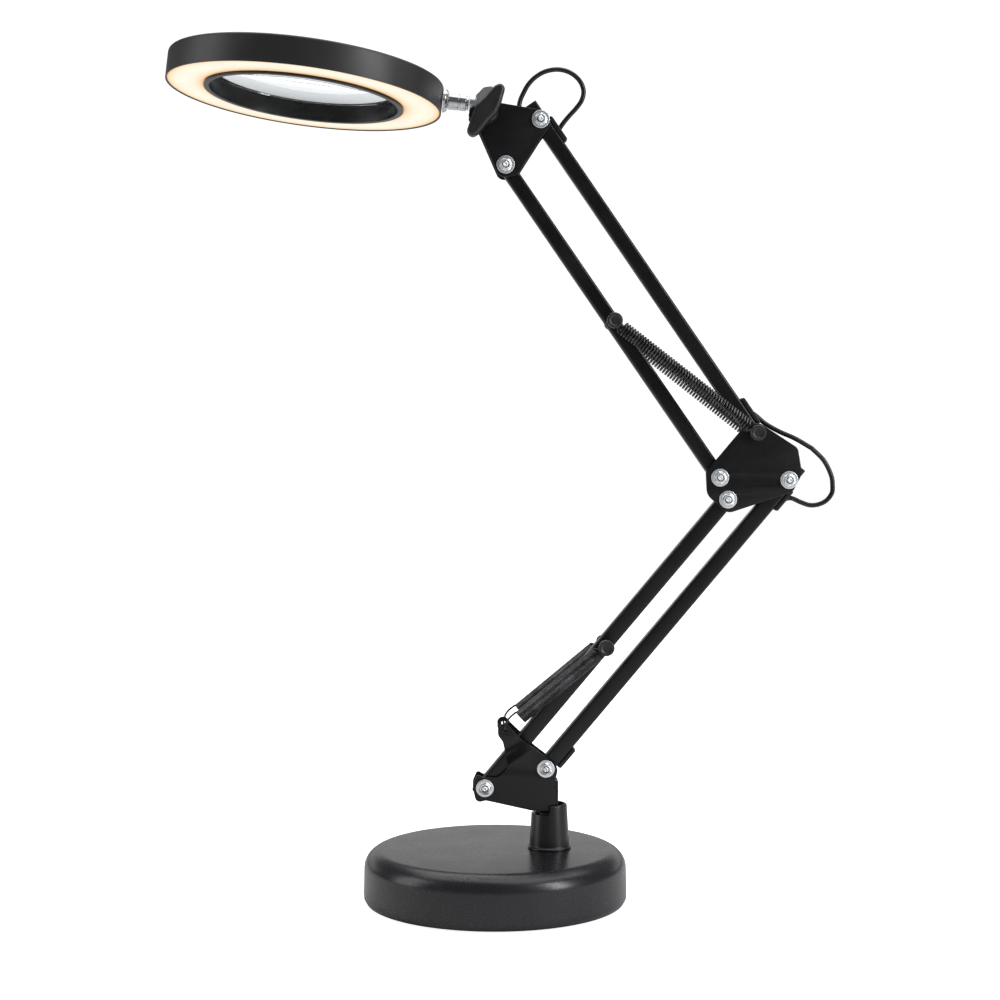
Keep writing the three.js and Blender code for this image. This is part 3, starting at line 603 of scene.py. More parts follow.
ELBOW_LOOP_B = [(186.2, 267.3), (193.4, 260.0), (197.9, 250.6), (198.5, 245.6), (198.2, 241.2), (195.2, 236.9), (190.4, 234.4), (185.2, 233.9), (179.9, 235.6),
                on_lower(214.2, 8.8), on_lower(211.0, 6.0), on_lower(206.9, 3.1), on_lower(201.6, 0.9), on_lower(196, 0.1)]
LOWER_RUN = [on_lower(196, 0.1), on_lower(190, 0), on_lower(150, 0), on_lower(110, 0), on_lower(70, 0), on_lower(36, 0), on_lower(28, 0.2),
             on_lower(22.5, 1.3), on_lower(18, 3.4), on_lower(14.6, 5.4)]


def cable(name, points, per=8):
    v, f = sweep_data(catmull(points, per), 1.4, 20)
    return add(name, v, f, M_CORD, sharp=50)


head_loop = cable("cord_head_loop", HEAD_LOOP)
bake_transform(head_loop)
upper_run = settle(cable("cord_upper_run", UPPER_RUN, 6), M_CORD, "upper_back", "cord_upper")
loop_a = cable("cord_elbow_loop_upper", ELBOW_LOOP_A)
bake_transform(loop_a)
loop_b = cable("cord_elbow_loop_lower", ELBOW_LOOP_B)
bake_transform(loop_b)
lower_run = settle(cable("cord_lower_run", LOWER_RUN, 6), M_CORD, "lower_back", "cord_lower")

# --------------------------------------------------------------------- base
lathe("base_cover", [[0, BASE_H, 0], [BASE_R - 0.6, BASE_H, BASE_ROUND], [BASE_R, 6.0, 14], [BASE_R - 0.2, 3.4, 1.2], [BASE_R - 1.7, 1.0, 0.8],
                     [BASE_R - 3.4, 1.0, 0.5], [BASE_R - 3.2, BASE_H - 12, 6], [BASE_R - 11, BASE_H - 2.4, 7], [0, BASE_H - 2.4, 0]],
      M_BASE, "base", "base_shell", segs=200, steps=12, slot="base_plastic")
lathe("base_ballast", [[0, 22, 0], [67, 22, 1.5], [68, 20, 1], [68, 6.5, 0.8], [0, 6.5, 0]], M_CAST, "base", "base_weight", segs=96, slot="ballast")
lathe("base_bottom", [[0, 3.2, 0], [BASE_R - 3.7, 3.2, 0.3], [BASE_R - 3.7, 1.8, 0.3], [0, 1.8, 0]], M_SHEET, "base", "bottom_plate", segs=120, slot="black_steel")
lathe("base_foam", [[0, 1.5, 0], [71, 1.5, 0.4], [71, 0, 0.4], [0, 0, 0]], M_FOAM, "base", "foot_pad", segs=120, slot="foot")

# Socket post: lathe, with its rim cut away towards the arm's foot.
z0 = BASE_H + 0.05
post = lathe("socket", [[2.9, z0, 0], [12.75, z0, 0.25], [12.75, z0 + 1.0, 0.5], [11.75, z0 + 1.9, 0.8], [10.3, 57.9, 0.9], [8.7, 57.9, 0.5], [8.7, z0 + 3.5, 0.3], [2.9, z0 + 3.5, 0]],
             M_POST, M=place(POST_X, 0), segs=128)
cut_pts = fillet([[POST_X - 30, 52.4], [POST_X - 0.3, 52.4, 1.2], [POST_X + 2.1, 75.0], [POST_X - 30, 75.0]])
cutter = slab("cut1", cut_pts, [], -20, 20, M_POST, bevel=0.0)
boolean(post, cutter)
bv = post.modifiers.new("bevel", "BEVEL")
bv.width, bv.segments, bv.limit_method, bv.angle_limit = 0.00045, 3, "ANGLE", rad(40)
bpy.context.view_layer.update()
post.data = bpy.data.meshes.new_from_object(post.evaluated_get(bpy.context.evaluated_depsgraph_get()))
post.modifiers.clear()
finish_mesh(post.data, 45, merge=1e-6)
settle(post, M_POST, "base", "socket_post")
lathe("socket_bolt", [[0, z0 + 6.4, 0], [2.5, z0 + 6.4, 0.4], [2.5, 8.6, 0.2], [4.6, 8.6, 0.3], [4.6, 4.6, 0.6], [0, 4.6, 0]], M_ZINC, "base", "post_bolt", M=place(POST_X, 0), segs=32, slot="zinc")

# ------------------------------------------------------------------- bracket
S0 = place(POST_X, 0)
melted("stem", [
    lathe_data([[0, 53.6, 0], [8.2, 53.6, 0.6], [8.2, 39.8, 0.5], [7.6, 39.2, 0.3], [0, 39.2, 0]], 48),
    (np.array([[x, y, z] for x in (-8, 3.1) for y in (-5.6, 5.6) for z in (53.0, 69.5)]),
     [(0, 1, 3, 2), (4, 6, 7, 5), (0, 4, 5, 1), (2, 3, 7, 6), (0, 2, 6, 4), (1, 5, 7, 3)]),
    (np.array([[x, y, z] for x in (2.4, 5.0) for y in (-6.5, 6.5) for z in (53.0, 72.0)]),
     [(0, 1, 3, 2), (4, 6, 7, 5), (0, 4, 5, 1), (2, 3, 7, 6), (0, 2, 6, 4), (1, 5, 7, 3)])],
    0.3, M_PLATE, "bracket", "swivel_stem", smooth=2, M=S0)

CHEEK = fillet([[-13.6, 69.6, 7], [-11.2, 59.6, 7.5], [-5.5, 60.9, 2], [21.3, 54.9, 1], [34.9, 54.5, 0.8], [34.9, 71.0, 2],
                [36.6, 78.5, 3.5], [35.6, 82.0, 3.5], [19.3, 94.4, 6], [9.4, 103.6, 3.4], [6.4, 107.6, 3.4], [1.3, 106.4, 3.4],
                [1.5, 100.6, 3.2], [4.3, 96.6, 2], [6.1, 88.5, 4], [7.9, 80.0, 4], [1.4, 74.6, 4], [-7.2, 74.4, 2], [-10.6, 76.6, 3.5]], 6)
BEND = rad(32.5)
BN = np.array([-math.sin(BEND), math.cos(BEND)])
U0, U1 = 65.0, 74.8


def cheek(name, side, node):
    me = slab_mesh(name, CHEEK, [(BOT_A[0], BOT_A[1], 1.9), (BOT_B[0], BOT_B[1], 1.9), (EAR[0], EAR[1], 1.35)], PLATE_IN, PLATE_OUT, 0.28, 2)
    bm = bmesh.new()
    bm.from_mesh(me)
    bmesh.ops.remove_doubles(bm, verts=bm.verts, dist=2e-6)
    for k in range(13):
        u = U0 - 0.8 + (U1 - U0 + 1.6) * k / 12
        bmesh.ops.bisect_plane(bm, geom=bm.verts[:] + bm.edges[:] + bm.faces[:], dist=1e-7,
                               plane_co=(BN[0] * u * 0.001, 0, BN[1] * u * 0.001), plane_no=(BN[0], 0, BN[1]))
    bmesh.ops.bisect_plane(bm, geom=bm.verts[:] + bm.edges[:] + bm.faces[:], dist=1e-7, plane_co=(0.003, 0, 0), plane_no=(1, 0, 0))
    for v in bm.verts:
        x, z = v.co.x * 1000, v.co.z * 1000
        if x < 2.9 and z < 80:
            w = 0.0
        else:
            u = x * BN[0] + z * BN[1]
            # two soft bends with a straight slope between them
            t = (u - U0) / (U1 - U0)
            s = 0.10
            if t <= -s:
                w = 0.0
            elif t < s:
                w = (t + s) ** 2 / (4 * s)
            elif t <= 1 - s:
                w = t
            elif t < 1 + s:
                w = 1 - (1 + s - t) ** 2 / (4 * s)
            else:
                w = 1.0
        v.co.y = (v.co.y + w * 7.8 * 0.001) * side
    bm.to_mesh(me)
    bm.free()
    finish_mesh(me, 24, merge=2e-6)
    ob = bpy.data.objects.new(name, me)
    scene.collection.objects.link(ob)
    return settle(ob, M_PLATE, "bracket", node)


cheek("bracket_cheek_front", -1, "bracket_front")
cheek("bracket_cheek_rear", 1, "bracket_rear")

# ---------------------------------------------------------------------- bars


def tube_bar(name, size, x0, x1, origin, deg, body, node, holes=(), slots=()):
    h, wall, r = size / 2, 0.8, 1.5
    outer = fillet([[-h, -h, r], [h, -h, r], [h, h, r], [-h, h, r]], 6)
    i = h - wall
    inner = fillet([[-i, -i, 0.7], [i, -i, 0.7], [i, i, 0.7], [-i, i, 0.7]], 6)
    n = len(outer)
    b = 0.16
    shrink = lambda loop, d: [(x * (1 - d / h), z * (1 - d / h)) for x, z in loop]
    rows = [(x0, shrink(outer, b)), (x0 + b, outer)]
    steps = max(2, int((x1 - x0) / 6))
    rows += [(x0 + b + (x1 - x0 - 2 * b) * k / steps, outer) for k in range(1, steps)]
    rows += [(x1 - b, outer), (x1, shrink(outer, b)), (x1, inner), (x0, inner)]
    verts, faces = [], []
    for x, loop in rows:
        verts += [(x, p[0], p[1]) for p in loop]
    m = len(rows)
    for k in range(m):
        a, c = k * n, ((k + 1) % m) * n
        for j in range(n):
            q = (j + 1) % n
            faces.append((a + j, a + q, c + q, c + j))
    ob = add(name, verts, faces, M_BAR, M=place(origin[0], origin[1], deg), sharp=45)
    M = place(origin[0], origin[1], deg)
    for hx, hr in holes:
        c = lathe("c", [[0, 12, 0], [hr, 12, 0], [hr, -12, 0], [0, -12, 0]], M_BAR, axis="y", M=M @ place(hx, 0), segs=24)
        boolean(ob, c, sharp=45)
    for path in slots:
        v, f = sweep_data(catmull(path, 6), 1.75, 16)
        boolean(ob, add("c", v, f, M_BAR), sharp=45)
    return settle(ob, M_BAR, body, node)


lower_back_slots = [[on_lower(219.5, 12.5), on_lower(214.2, 8.8), on_lower(211.0, 6.0), on_lower(206.9, 3.1), on_lower(203.6, 1.4)],
                    [on_lower(28, 0.2), on_lower(22.5, 1.3), on_lower(18, 3.4), on_lower(14.6, 5.4), on_lower(10.8, 8.2)]]
upper_back_slots = [[on_upper(213.8, 17.5), on_upper(212.4, 12.5), on_upper(211.1, 8.85), on_upper(209.55, 5.7), on_upper(206.8, 3.4), on_upper(203, 1.6)],
                    [on_upper(22, 0.3), on_upper(18.5, 0.9), on_upper(13.6, 3.4), on_upper(9.2, 6.3), on_upper(4.5, 9.8)]]
tube_bar("lower_bar_front", LOWER_TUBE, -6.2, 226.0, BOT_A, LOWER_ANGLE, "lower_front", "lower_front_bar", [(0, 1.9), (109.4, 1.9), (221, 1.9)])
tube_bar("lower_bar_back", LOWER_TUBE, -6.2, 231.4, BOT_B, LOWER_ANGLE, "lower_back", "lower_back_bar", [(0, 1.9), (221, 1.9)], lower_back_slots)
tube_bar("upper_bar_front", UPPER_TUBE, -5.0, 225.5, EL_A, UPPER_ANGLE, "upper_front", "upper_front_bar", [(0, 1.9), (110.3, 1.9), (220.5, 1.9)])
tube_bar("upper_bar_back", UPPER_TUBE, -5.0, 231.7, EL_D, UPPER_ANGLE, "upper_back", "upper_back_bar", [(0, 1.9), (220.5, 1.9)], upper_back_slots)


def cable_clip(name, origin, deg, half, x0, x1, body, node, way):
    z1 = -half - 0.05
    z0 = z1 - 2.7
    pts = fillet([[x0, z1, 0.4], [x0, z0, 2.3], [x1, z0, 2.3], [x1, z1, 0.4]], 6)
    ob = slab(name, pts, [], -3.7, 3.7, M_CLIP, bevel=0.7, M=place(origin[0], origin[1], deg), segs=4)
    v, f = sweep_data(catmull(way, 6), 1.62, 20)
    boolean(ob, add("c", v, f, M_CLIP), sharp=45)
    return settle(ob, M_CLIP, body, node)


cable_clip("clip_head", EL_D, UPPER_ANGLE, UPPER_TUBE / 2, 202.3, 219.4, "upper_back", "cord_clip_head", upper_back_slots[0])
cable_clip("clip_elbow_upper", EL_D, UPPER_ANGLE, UPPER_TUBE / 2, 2.6, 20.6, "upper_back", "cord_clip_elbow_upper", upper_back_slots[1])
cable_clip("clip_elbow_lower", BOT_B, LOWER_ANGLE, LOWER_TUBE / 2, 202.6, 218.0, "lower_back", "cord_clip_elbow_lower", lower_back_slots[0])
cable_clip("lead_outlet", BOT_B, LOWER_ANGLE, LOWER_TUBE / 2, 5.0, 19.4, "lower_back", "cord_outlet", lower_back_slots[1])

# --------------------------------------------------------------- side plates
ELBOW = fillet([[122.9, 253.6, 2.5], [143.1, 277.6, 3], [152.9, 283.2, 6.5], [176.9, 267.6, 4.5], [179.4, 252.4, 3], [173.9, 241.8, 5.5],
                [135.7, 229.2, 6], [123.6, 240.2, 8]], 8)
ELBOW_REAR = fillet([[124.8, 253.6, 2.5], [144.6, 277.2, 3], [152.9, 283.2, 6.5], [176.9, 267.6, 4.5], [179.4, 252.4, 3], [173.9, 241.8, 5.5],
                     [135.9, 229.4, 6], [125.2, 240.4, 7.5]], 8)
HEADP = fillet([[-14.6, 464.9, 1.8], [3.0, 467.5, 3], [26.2, 463.6, 3.5], [33.8, 456.6, 4.5], [26.0, 446.4, 8], [12.6, 425.4, 5], [2.4, 424.4, 5],
                [-9.1, 450.6, 8], [-15.6, 459.6, 2.2]], 8)
el_holes = [(*p, 1.9) for p in (EL_A, EL_B, EL_C, EL_D)]
hd_holes = [(*HEAD_LOW, 1.9), (*HEAD_UP, 1.9), (*CLAMP, 3.0)]
for nm, s in (("front", -1), ("rear", 1)):
    y0, y1 = sorted((s * PLATE_IN, s * PLATE_OUT))
    slab(f"elbow_side_{nm}", ELBOW if s < 0 else ELBOW_REAR, el_holes, y0, y1, M_PLATE, "elbow", f"elbow_plate_{nm}", bevel=0.5, segs=3)
    slab(f"head_side_{nm}", HEADP, hd_holes, y0, y1, M_PLATE, "head", f"head_plate_{nm}", bevel=0.45, segs=3)

# ---------------------------------------------------------- pivot fastenings


def hex_data(af, y_in, y_out, chamfer=0.5, bore=0.0):
    """Hexagon about Y, with the turned chamfer of a real nut on its outer end."""
    n = 72
    r0 = af / 2 * 0.985
    s = 1 if y_out > y_in else -1
    rows = [[], [], [], []]
    for k in range(n):
        t = 2 * math.pi * k / n
        m = (t % (math.pi / 3)) - math.pi / 6
        r = min(af / 2 / math.cos(m), af / 2 / math.cos(math.pi / 6) * 0.985)
        c, d = math.cos(t), math.sin(t)
        rows[0].append((r * c, y_in, r * d))
        rows[1].append((r * c, y_out - s * (r - r0) * 0.62, r * d))
        rows[2].append((r0 * c, y_out, r0 * d))
    verts = rows[0] + rows[1] + rows[2]
    faces = []
    for a in (0, 1):
        for k in range(n):
            j = (k + 1) % n
            faces.append((a * n + k, a * n + j, (a + 1) * n + j, (a + 1) * n + k))
    if bore:
        for row_y in (y_out, y_in):
            verts += [(bore * math.cos(2 * math.pi * k / n), row_y, bore * math.sin(2 * math.pi * k / n)) for k in range(n)]
        for a, b_ in ((2, 3), (3, 4), (4, 0)):
            for k in range(n):
                j = (k + 1) % n
                faces.append((a * n + k, a * n + j, b_ * n + j, b_ * n + k))
    else:
        faces.append(tuple(range(2 * n, 3 * n)))
        faces.append(tuple(reversed(range(0, n))))
    return np.array(verts, float), faces


def y_lathe(profile, segs=48, steps=5):
    v, f = lathe_data(profile, segs, steps)
    return apply(TO_Y, v), f


def pivot(name, p, body, turn=0.0):
    F = PLATE_OUT + 0.02
    M = place(p[0], p[1], turn)
    # flange nut: washer face, hexagon, nylon collar
    add(f"{name}_nut_body", *joined([
        y_lathe([[1.75, -F, 0], [5.2, -F, 0.12], [5.2, -F - 1.05, 0.3], [3.75, -F - 1.1, 0.12], [2.9, -F - 0.55, 0], [1.75, -F - 0.55, 0]]),
        hex_data(5.3, -F - 0.5, -F - 3.0, bore=1.75),
        y_lathe([[2.05, -F - 2.6, 0], [2.62, -F - 2.6, 0], [2.62, -F - 3.35, 0.3], [2.05, -F - 3.2, 0.1]])]),
        M_ZINC, body, f"{name}_nut", M, 30, "zinc")
    add(f"{name}_collar", *y_lathe([[1.62, -F - 2.4, 0], [2.05, -F - 2.4, 0], [2.05, -F - 3.12, 0.05], [1.62, -F - 3.02, 0.05]]), M_INSERT, body, (), M, 30, "black_plastic")
    thread = [[0, -F - 4.2, 0], [0.42, -F - 4.0, 0.1], [0.9, -F - 4.45, 0.2], [1.5, -F - 3.9, 0.15]]
    y = -F - 3.7
    while y < -F + 0.2:
        thread += [[1.6, y, 0], [1.42, y + 0.2, 0]]
        y += 0.4
    thread += [[1.6, F, 0.1], [5.2, F, 0.12], [5.2, F + 0.6, 0.35], [3.2, F + 1.15, 0.3], [2.4, F + 1.15, 0], [0, F + 1.15, 0]]
    add(f"{name}_screw", *joined([y_lathe(thread, 40, 3), hex_data(5.5, F + 0.7, F + 3.3)]), M_ZINC, body, f"{name}_bolt", M, 30, "zinc")


pivot("bracket_front_pivot", BOT_A, "bracket", 12)
pivot("bracket_back_pivot", BOT_B, "bracket", 31)
pivot("elbow_lower_front_pivot", EL_B, "elbow", 8)
pivot("elbow_lower_back_pivot", EL_C, "elbow", 22)
pivot("elbow_upper_front_pivot", EL_A, "elbow", 40)
pivot("head_front_pivot", HEAD_LOW, "head", 3)
pivot("head_back_pivot", HEAD_UP, "head", 26)


def spring_post(name, p, seat, body, node):
    s = seat + 0.05
    e0, c = SPRING_Y - 1.0, SPRING_Y + 4.65
    prof = [[0, -c - 2.7, 0], [2.3, -c - 2.7, 0.8], [3.3, -c - 3.4, 0.5], [4.1, -c - 3.35, 0.5], [4.6, -c - 2.7, 0.5], [4.6, -c, 0.4],
            [1.6, -c, 0.2], [1.6, -e0, 0.2], [3.0, -e0, 0.4], [3.0, -s, 0.2], [1.6, -s, 0], [1.6, s, 0], [3.0, s, 0.2], [3.0, e0, 0.4], [1.6, e0, 0.2],
            [1.6, c, 0.2], [3.4, c, 0.4], [3.4, c + 1.8, 0.8], [0, c + 2.4, 0]]
    lathe(name, prof, M_CAP, body, node, place(p[0], p[1]), 48, "y", 4, slot="black_plastic")


spring_post("post_lower", LOWER_POST, LOWER_TUBE / 2, "lower_front", "lower_spring_post")
spring_post("post_upper", UPPER_POST, UPPER_TUBE / 2, "upper_front", "upper_spring_post")
spring_post("post_elbow", EL_D, PLATE_OUT, "elbow", "elbow_spring_post")

# ------------------------------------------------------------------- springs


def spring(name, a, b, y, x0, x1, turns, wire, mean, stage):
    """Round wire from the near loop through the coil to the far loop, local X from a to b."""
    d = b - a
    L = float(np.hypot(*d))
    deg = math.degrees(math.atan2(d[1], d[0]))
    out = 1 if y > 0 else -1
    pts = []
    seg = 20
    e = 1.72 + wire / 2
    if stage == "upper":
        # closed loop round the elbow post
        for k in range(26):
            t = rad(-28 - 318 * k / 25)
            pts.append((e * math.cos(t), y, e * math.sin(t)))
        pts += [(3.6, y, 0.9), (4.9, y + 0.2, 1.9)]
        phase = math.pi / 2
    else:
        # open hook through the ear's hole, then a wide half loop back to the coil
        hy = y + out * 1.35
        pts += [(2.9, y - out * 1.9, -1.5), (1.2, y - out * 2.1, -0.9), (0.1, y - out * 1.0, -0.1), (0.0, y, 0.0), (0.3, y + out * 1.3, 0.4), (1.9, hy + out * 0.25, 1.7),
                (4.4, hy, 3.2), (7.2, y + out * 0.7, 3.9), (9.8, y + out * 0.3, 3.95)]
        phase = math.pi / 2
    coil = []
    N = int(turns * seg)
    for k in range(N + 1):
        t = phase + 2 * math.pi * k / seg
        coil.append((x0 + (x1 - x0) * k / N, y + mean * math.cos(t), mean * math.sin(t)))
    far = []
    far += [(L - 4.6, y + 0.1, 1.7), (L - 3.4, y, 0.8)]
    for k in range(26):
        t = rad(180 - 28 - 318 * k / 25)
        far.append((L + e * math.cos(t), y, e * math.sin(t)))
    # only the ends are splined; the coil is exact
    head = catmull(np.array(pts + [coil[0], coil[4]]), 5)[: (len(pts)) * 5]
    tail = catmull(np.array([coil[-5], coil[-1]] + far), 5)[5:]
    path = np.vstack([head, np.array(coil), tail[1:]])
    v, f = sweep_data(path, wire / 2, 8)
    ob = add(name, v, f, M_WIRE, M=place(a[0], a[1], deg), sharp=60)
    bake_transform(ob)
    side = "front" if y < 0 else "rear"
    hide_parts(f"{stage}_spring_{side}", f"{stage}_spring_hook_{side}")
    return ob


L_UP = float(np.hypot(*(UPPER_POST - EL_D)))
L_LO = float(np.hypot(*(LOWER_POST - EAR)))
for side, y in (("front", -SPRING_Y), ("rear", SPRING_Y)):
    spring(f"spring_upper_{side}", EL_D, UPPER_POST, y, 6.2, L_UP - 6.2, 49, 1.38, 3.54, "upper")
    spring(f"spring_lower_{side}", EAR, LOWER_POST, y, 12.4, L_LO - 6.2, 62, 1.14, 3.66, "lower")

# ---------------------------------------------------------------- head joint
CM = place(CLAMP[0], CLAMP[1])
F = PLATE_OUT + 0.05
clamp = add("clamp_screw", *joined([
    y_lathe([[0, -20, 0], [2.2, -20, 0.3], [2.5, -19.4, 0.2], [2.5, F, 0], [0, F, 0]], 32),
    y_lathe([[0, F, 0], [5.4, F, 0.2], [5.4, 9.0, 1.0], [3.0, 11.2, 2.0], [0, 11.4, 0]], 48)]), M_ZINC, "head", "clamp_bolt", CM, 30, "zinc")

WINGS = fillet([[x - CLAMP[0], z - CLAMP[1], r] for x, z, r in
                [[5.6, 473.4, 2.5], [3.3, 465.1, 5], [0.6, 459.2, 5], [-3.8, 454.8, 5], [-9.4, 447.8, 4], [-13.3, 445.1, 3], [-16.8, 448.5, 3],
                 [-14.5, 455.1, 6], [-11.1, 463.9, 6], [-5.7, 469.0, 6], [-0.4, 474.9, 3], [3.4, 476.5, 2.5]]], 8)
wing_me = slab_mesh("w", WINGS, [], -24.0, -15.0, 2.2, 5)
bm = bmesh.new()
bm.from_mesh(wing_me)
bmesh.ops.remove_doubles(bm, verts=bm.verts, dist=2e-6)
wing = (np.array([tuple(v.co * 1000) for v in bm.verts]), [tuple(v.index for v in fc.verts) for fc in bm.faces])
bm.free()
hub = y_lathe([[0, -16.5, 0], [6.0, -16.5, 0.5], [6.4, -F - 0.3, 0.6], [0, -F - 0.3, 0]], 64)
bore = lathe("c", [[0, -6, 0], [2.7, -6, 0], [2.7, -20.4, 0], [0, -20.4, 0]], M_CAP, axis="y", M=CM, segs=32)
melted("knob_wing", [wing, hub], 0.35, M_CAP, "knob", "wing_knob", smooth=3, M=CM, cutters=[bore])

# Plated knuckle: eye, flat boss and a round neck.
INV = np.linalg.inv(HEAD_M)
eye_world = [[-11.4, 472.4, 2.0], [-6.8, 477.2, 1.6], [-1.6, 478.0, 1.6], [2.6, 473.0, 4], [4.4, 454.4, 7],
             [-9.6, 452.4, 6], [-11.6, 461.0, 4], [-10.2, 466.2, 2]]
eye_pts = fillet([[*apply(INV, [[x, 0, z]])[0][[0, 2]], r] for x, z, r in eye_world], 8)
eye_me = slab_mesh("e", eye_pts, [], -5.4, 5.4, 0.9, 4)
bm = bmesh.new()
bm.from_mesh(eye_me)
bmesh.ops.remove_doubles(bm, verts=bm.verts, dist=2e-6)
eye = (np.array([tuple(v.co * 1000) for v in bm.verts]), [tuple(v.index for v in fc.verts) for fc in bm.faces])
bm.free()
neck_v, neck_f = lathe_data([[0, 104.5, 0], [4.7, 104.5, 0.6], [4.75, 97.6, 0.8], [4.75, 95.95, 0.4], [0, 95.95, 0]], 48)
neck = (apply(TO_X, neck_v), neck_f)
cl = apply(INV, [[CLAMP[0], 0, CLAMP[1]]])[0]
kbore = lathe("c", [[0, 12, 0], [3.0, 12, 0], [3.0, -12, 0], [0, -12, 0]], M_CHROME, axis="y", M=HEAD_M @ place(cl[0], cl[2]), segs=32)
melted("knuckle", [eye, neck], 0.28, M_KNUCKLE, "tilt", "head_knuckle", smooth=5, M=HEAD_M, cutters=[kbore])
lathe("shaft", [[0, 95.6, 0], [4.0, 95.6, 0.3], [4.1, 94.3, 0.2], [4.75, 93.9, 0.25], [4.75, 90.6, 0.15], [4.45, 90.3, 0.1], [4.45, 89.7, 0.1], [4.75, 89.4, 0.15],
                [4.75, 83.9, 0.3], [4.3, 83.45, 0.2], [0, 83.45, 0]], M_CHROME, "ring", "head_shaft", RING_M, 72, "x", slot="chrome")
lathe("ferrule", [[0, 83.2, 0], [5.7, 83.2, 0.5], [6.6, 82.0, 0.4], [6.9, 81.2, 0.4], [6.9, 80.6, 0], [0, 80.6, 0]], M_CHROME, "ring", "ring_ferrule", RING_M, 64, "x", slot="chrome")

# --------------------------------------------------------------------- ring
H = RING_H / 2
lathe("ring_shell", [[RING_R, -H, 0.25], [RING_R, H, 1.6], [54.0, H, 1.2], [54.0, H - 3.3, 0.3], [56.4, H - 3.3, 0.2], [56.4, -5.4, 0.2],
                     [57.9, -5.4, 0.2], [57.9, H - 1.8, 0.4], [RING_R - 0.9, H - 1.8, 0.6], [RING_R - 0.9, -H, 0.25]],
      M_RING, "ring", "ring_housing", RING_M, 224, steps=5, slot="ring_plastic")
lathe("ring_board", [[58.3, 4.3, 0.1], [78.4, 4.3, 0.1], [78.4, 5.9, 0.1], [58.3, 5.9, 0.1]], M_BOARD, "ring", "led_board", RING_M, 96, steps=2, slot="led_board")
lathe("ring_diffuser", [[58.2, -7.6, 0.3], [79.15, -7.6, 0.3], [79.15, -5.8, 0.2], [58.2, -5.8, 0.2]], M_DIFFUSER, "ring", "diffuser", RING_M, 224, steps=4, slot="diffuser")
lathe("ring_bezel", [[54.9, -9.0, 0.5], [58.0, -9.0, 0.35], [58.5, -8.1, 0.3], [56.1, -8.0, 0.2], [56.1, 1.5, 0.2], [54.9, 1.5, 0.2]],
      M_BEZEL, "ring", "lens_bezel", RING_M, 224, steps=5, slot="ring_plastic")
lens_prof = [[0, 7.8, 0]]
for k in range(1, 13):
    q = k / 12
    lens_prof.append([55.8 * q, 4.4 + 3.4 * (1 - q * q), 0])
for k in range(12, 0, -1):
    q = k / 12
    lens_prof.append([55.8 * q, 1.8 - 3.6 * (1 - q * q), 0])
lens_prof.append([0, -1.8, 0])
lathe("magnifier", lens_prof, M_GLASS, "ring", "lens", RING_M, 160, sharp=60, slot="lens")

# ------------------------------------------------------------ floor and light
fl_me = bpy.data.meshes.new("floor")
fl_me.from_pydata([(-14, -6, 0), (14, -6, 0), (14, 20, 0), (-14, 20, 0)], [], [(0, 1, 2, 3)])
floor = bpy.data.objects.new("floor", fl_me)
scene.collection.objects.link(floor)
fm = bpy.data.materials.new("floor_white")
fm.use_nodes = True
nt = fm.node_tree
b = nt.nodes["Principled BSDF"]
b.inputs["Base Color"].default_value = (0.78, 0.78, 0.78, 1)
b.inputs["Roughness"].default_value = 0.9
lp = nt.nodes.new("ShaderNodeLightPath")
em = nt.nodes.new("ShaderNodeEmission")
em.inputs["Color"].default_value = (1, 1, 1, 1)
em.inputs["Strength"].default_value = 0.92
sc_ = nt.nodes.new("ShaderNodeMath")
sc_.operation = "MAXIMUM"
nt.links.new(lp.outputs["Is Camera Ray"], sc_.inputs[0])
nt.links.new(lp.outputs["Is Transmission Ray"], sc_.inputs[1])
mx = nt.nodes.new("ShaderNodeMixShader")
ad = nt.nodes.new("ShaderNodeAddShader")
nt.links.new(em.outputs[0], ad.inputs[0])
nt.links.new(b.outputs[0], ad.inputs[1])
nt.links.new(sc_.outputs[0], mx.inputs[0])
nt.links.new(b.outputs[0], mx.inputs[1])
nt.links.new(ad.outputs[0], mx.inputs[2])
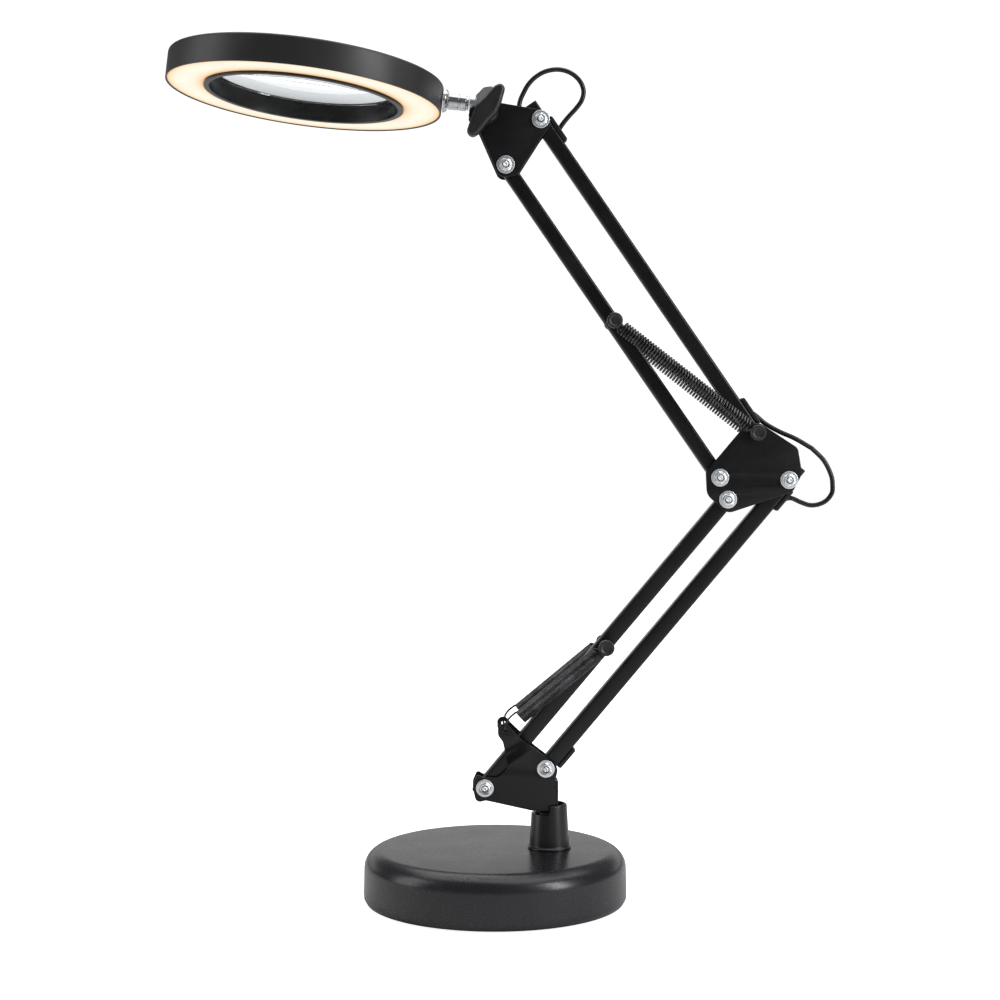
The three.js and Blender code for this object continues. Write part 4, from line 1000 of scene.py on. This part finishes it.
nt.links.new(mx.outputs[0], nt.nodes["Material Output"].inputs["Surface"])
fl_me.materials.append(fm)

w = bpy.data.worlds.new("studio")
scene.world = w
w.use_nodes = True
wn = w.node_tree
bg = wn.nodes["Background"]
bg.inputs["Color"].default_value = (0.93, 0.96, 1.0, 1)
bg.inputs["Strength"].default_value = 0.13
bg2 = wn.nodes.new("ShaderNodeBackground")
bg2.inputs["Color"].default_value = (1, 1, 1, 1)
bg2.inputs["Strength"].default_value = 1.1
lpw = wn.nodes.new("ShaderNodeLightPath")
orr = wn.nodes.new("ShaderNodeMath")
orr.operation = "MAXIMUM"
wn.links.new(lpw.outputs["Is Camera Ray"], orr.inputs[0])
wn.links.new(lpw.outputs["Is Transmission Ray"], orr.inputs[1])
mxw = wn.nodes.new("ShaderNodeMixShader")
wn.links.new(orr.outputs[0], mxw.inputs[0])
wn.links.new(bg.outputs[0], mxw.inputs[1])
wn.links.new(bg2.outputs[0], mxw.inputs[2])
wn.links.new(mxw.outputs[0], wn.nodes["World Output"].inputs["Surface"])


def area(name, loc, target, size, power, color=(1, 1, 1), size_y=None):
    l = bpy.data.lights.new(name, "AREA")
    l.shape = "RECTANGLE" if size_y else "SQUARE"
    l.size = size
    if size_y:
        l.size_y = size_y
    l.energy = power
    l.color = color
    o = bpy.data.objects.new(name, l)
    o.location = loc
    o.rotation_euler = (Vector(target) - Vector(loc)).to_track_quat("-Z", "Y").to_euler()
    o.visible_camera = False
    scene.collection.objects.link(o)
    return o


area("top_box", (0.1, 0.3, 1.75), (0.0, 0.1, 0.2), 2.6, 31, (1.0, 1.0, 1.0), 2.0)
area("left_box", (-1.7, -0.2, 0.8), (0.0, 0.0, 0.3), 0.8, 9, (0.97, 0.98, 1.0), 1.4)
area("right_box", (1.3, -0.85, 0.78), (0.0, 0.0, 0.3), 0.42, 15, (0.98, 0.98, 1.0), 1.1)
area("back_card", (0.0, 2.6, 0.62), (0.0, 0.0, 0.05), 6.4, 10.5, (1.0, 1.0, 1.0), 0.75)
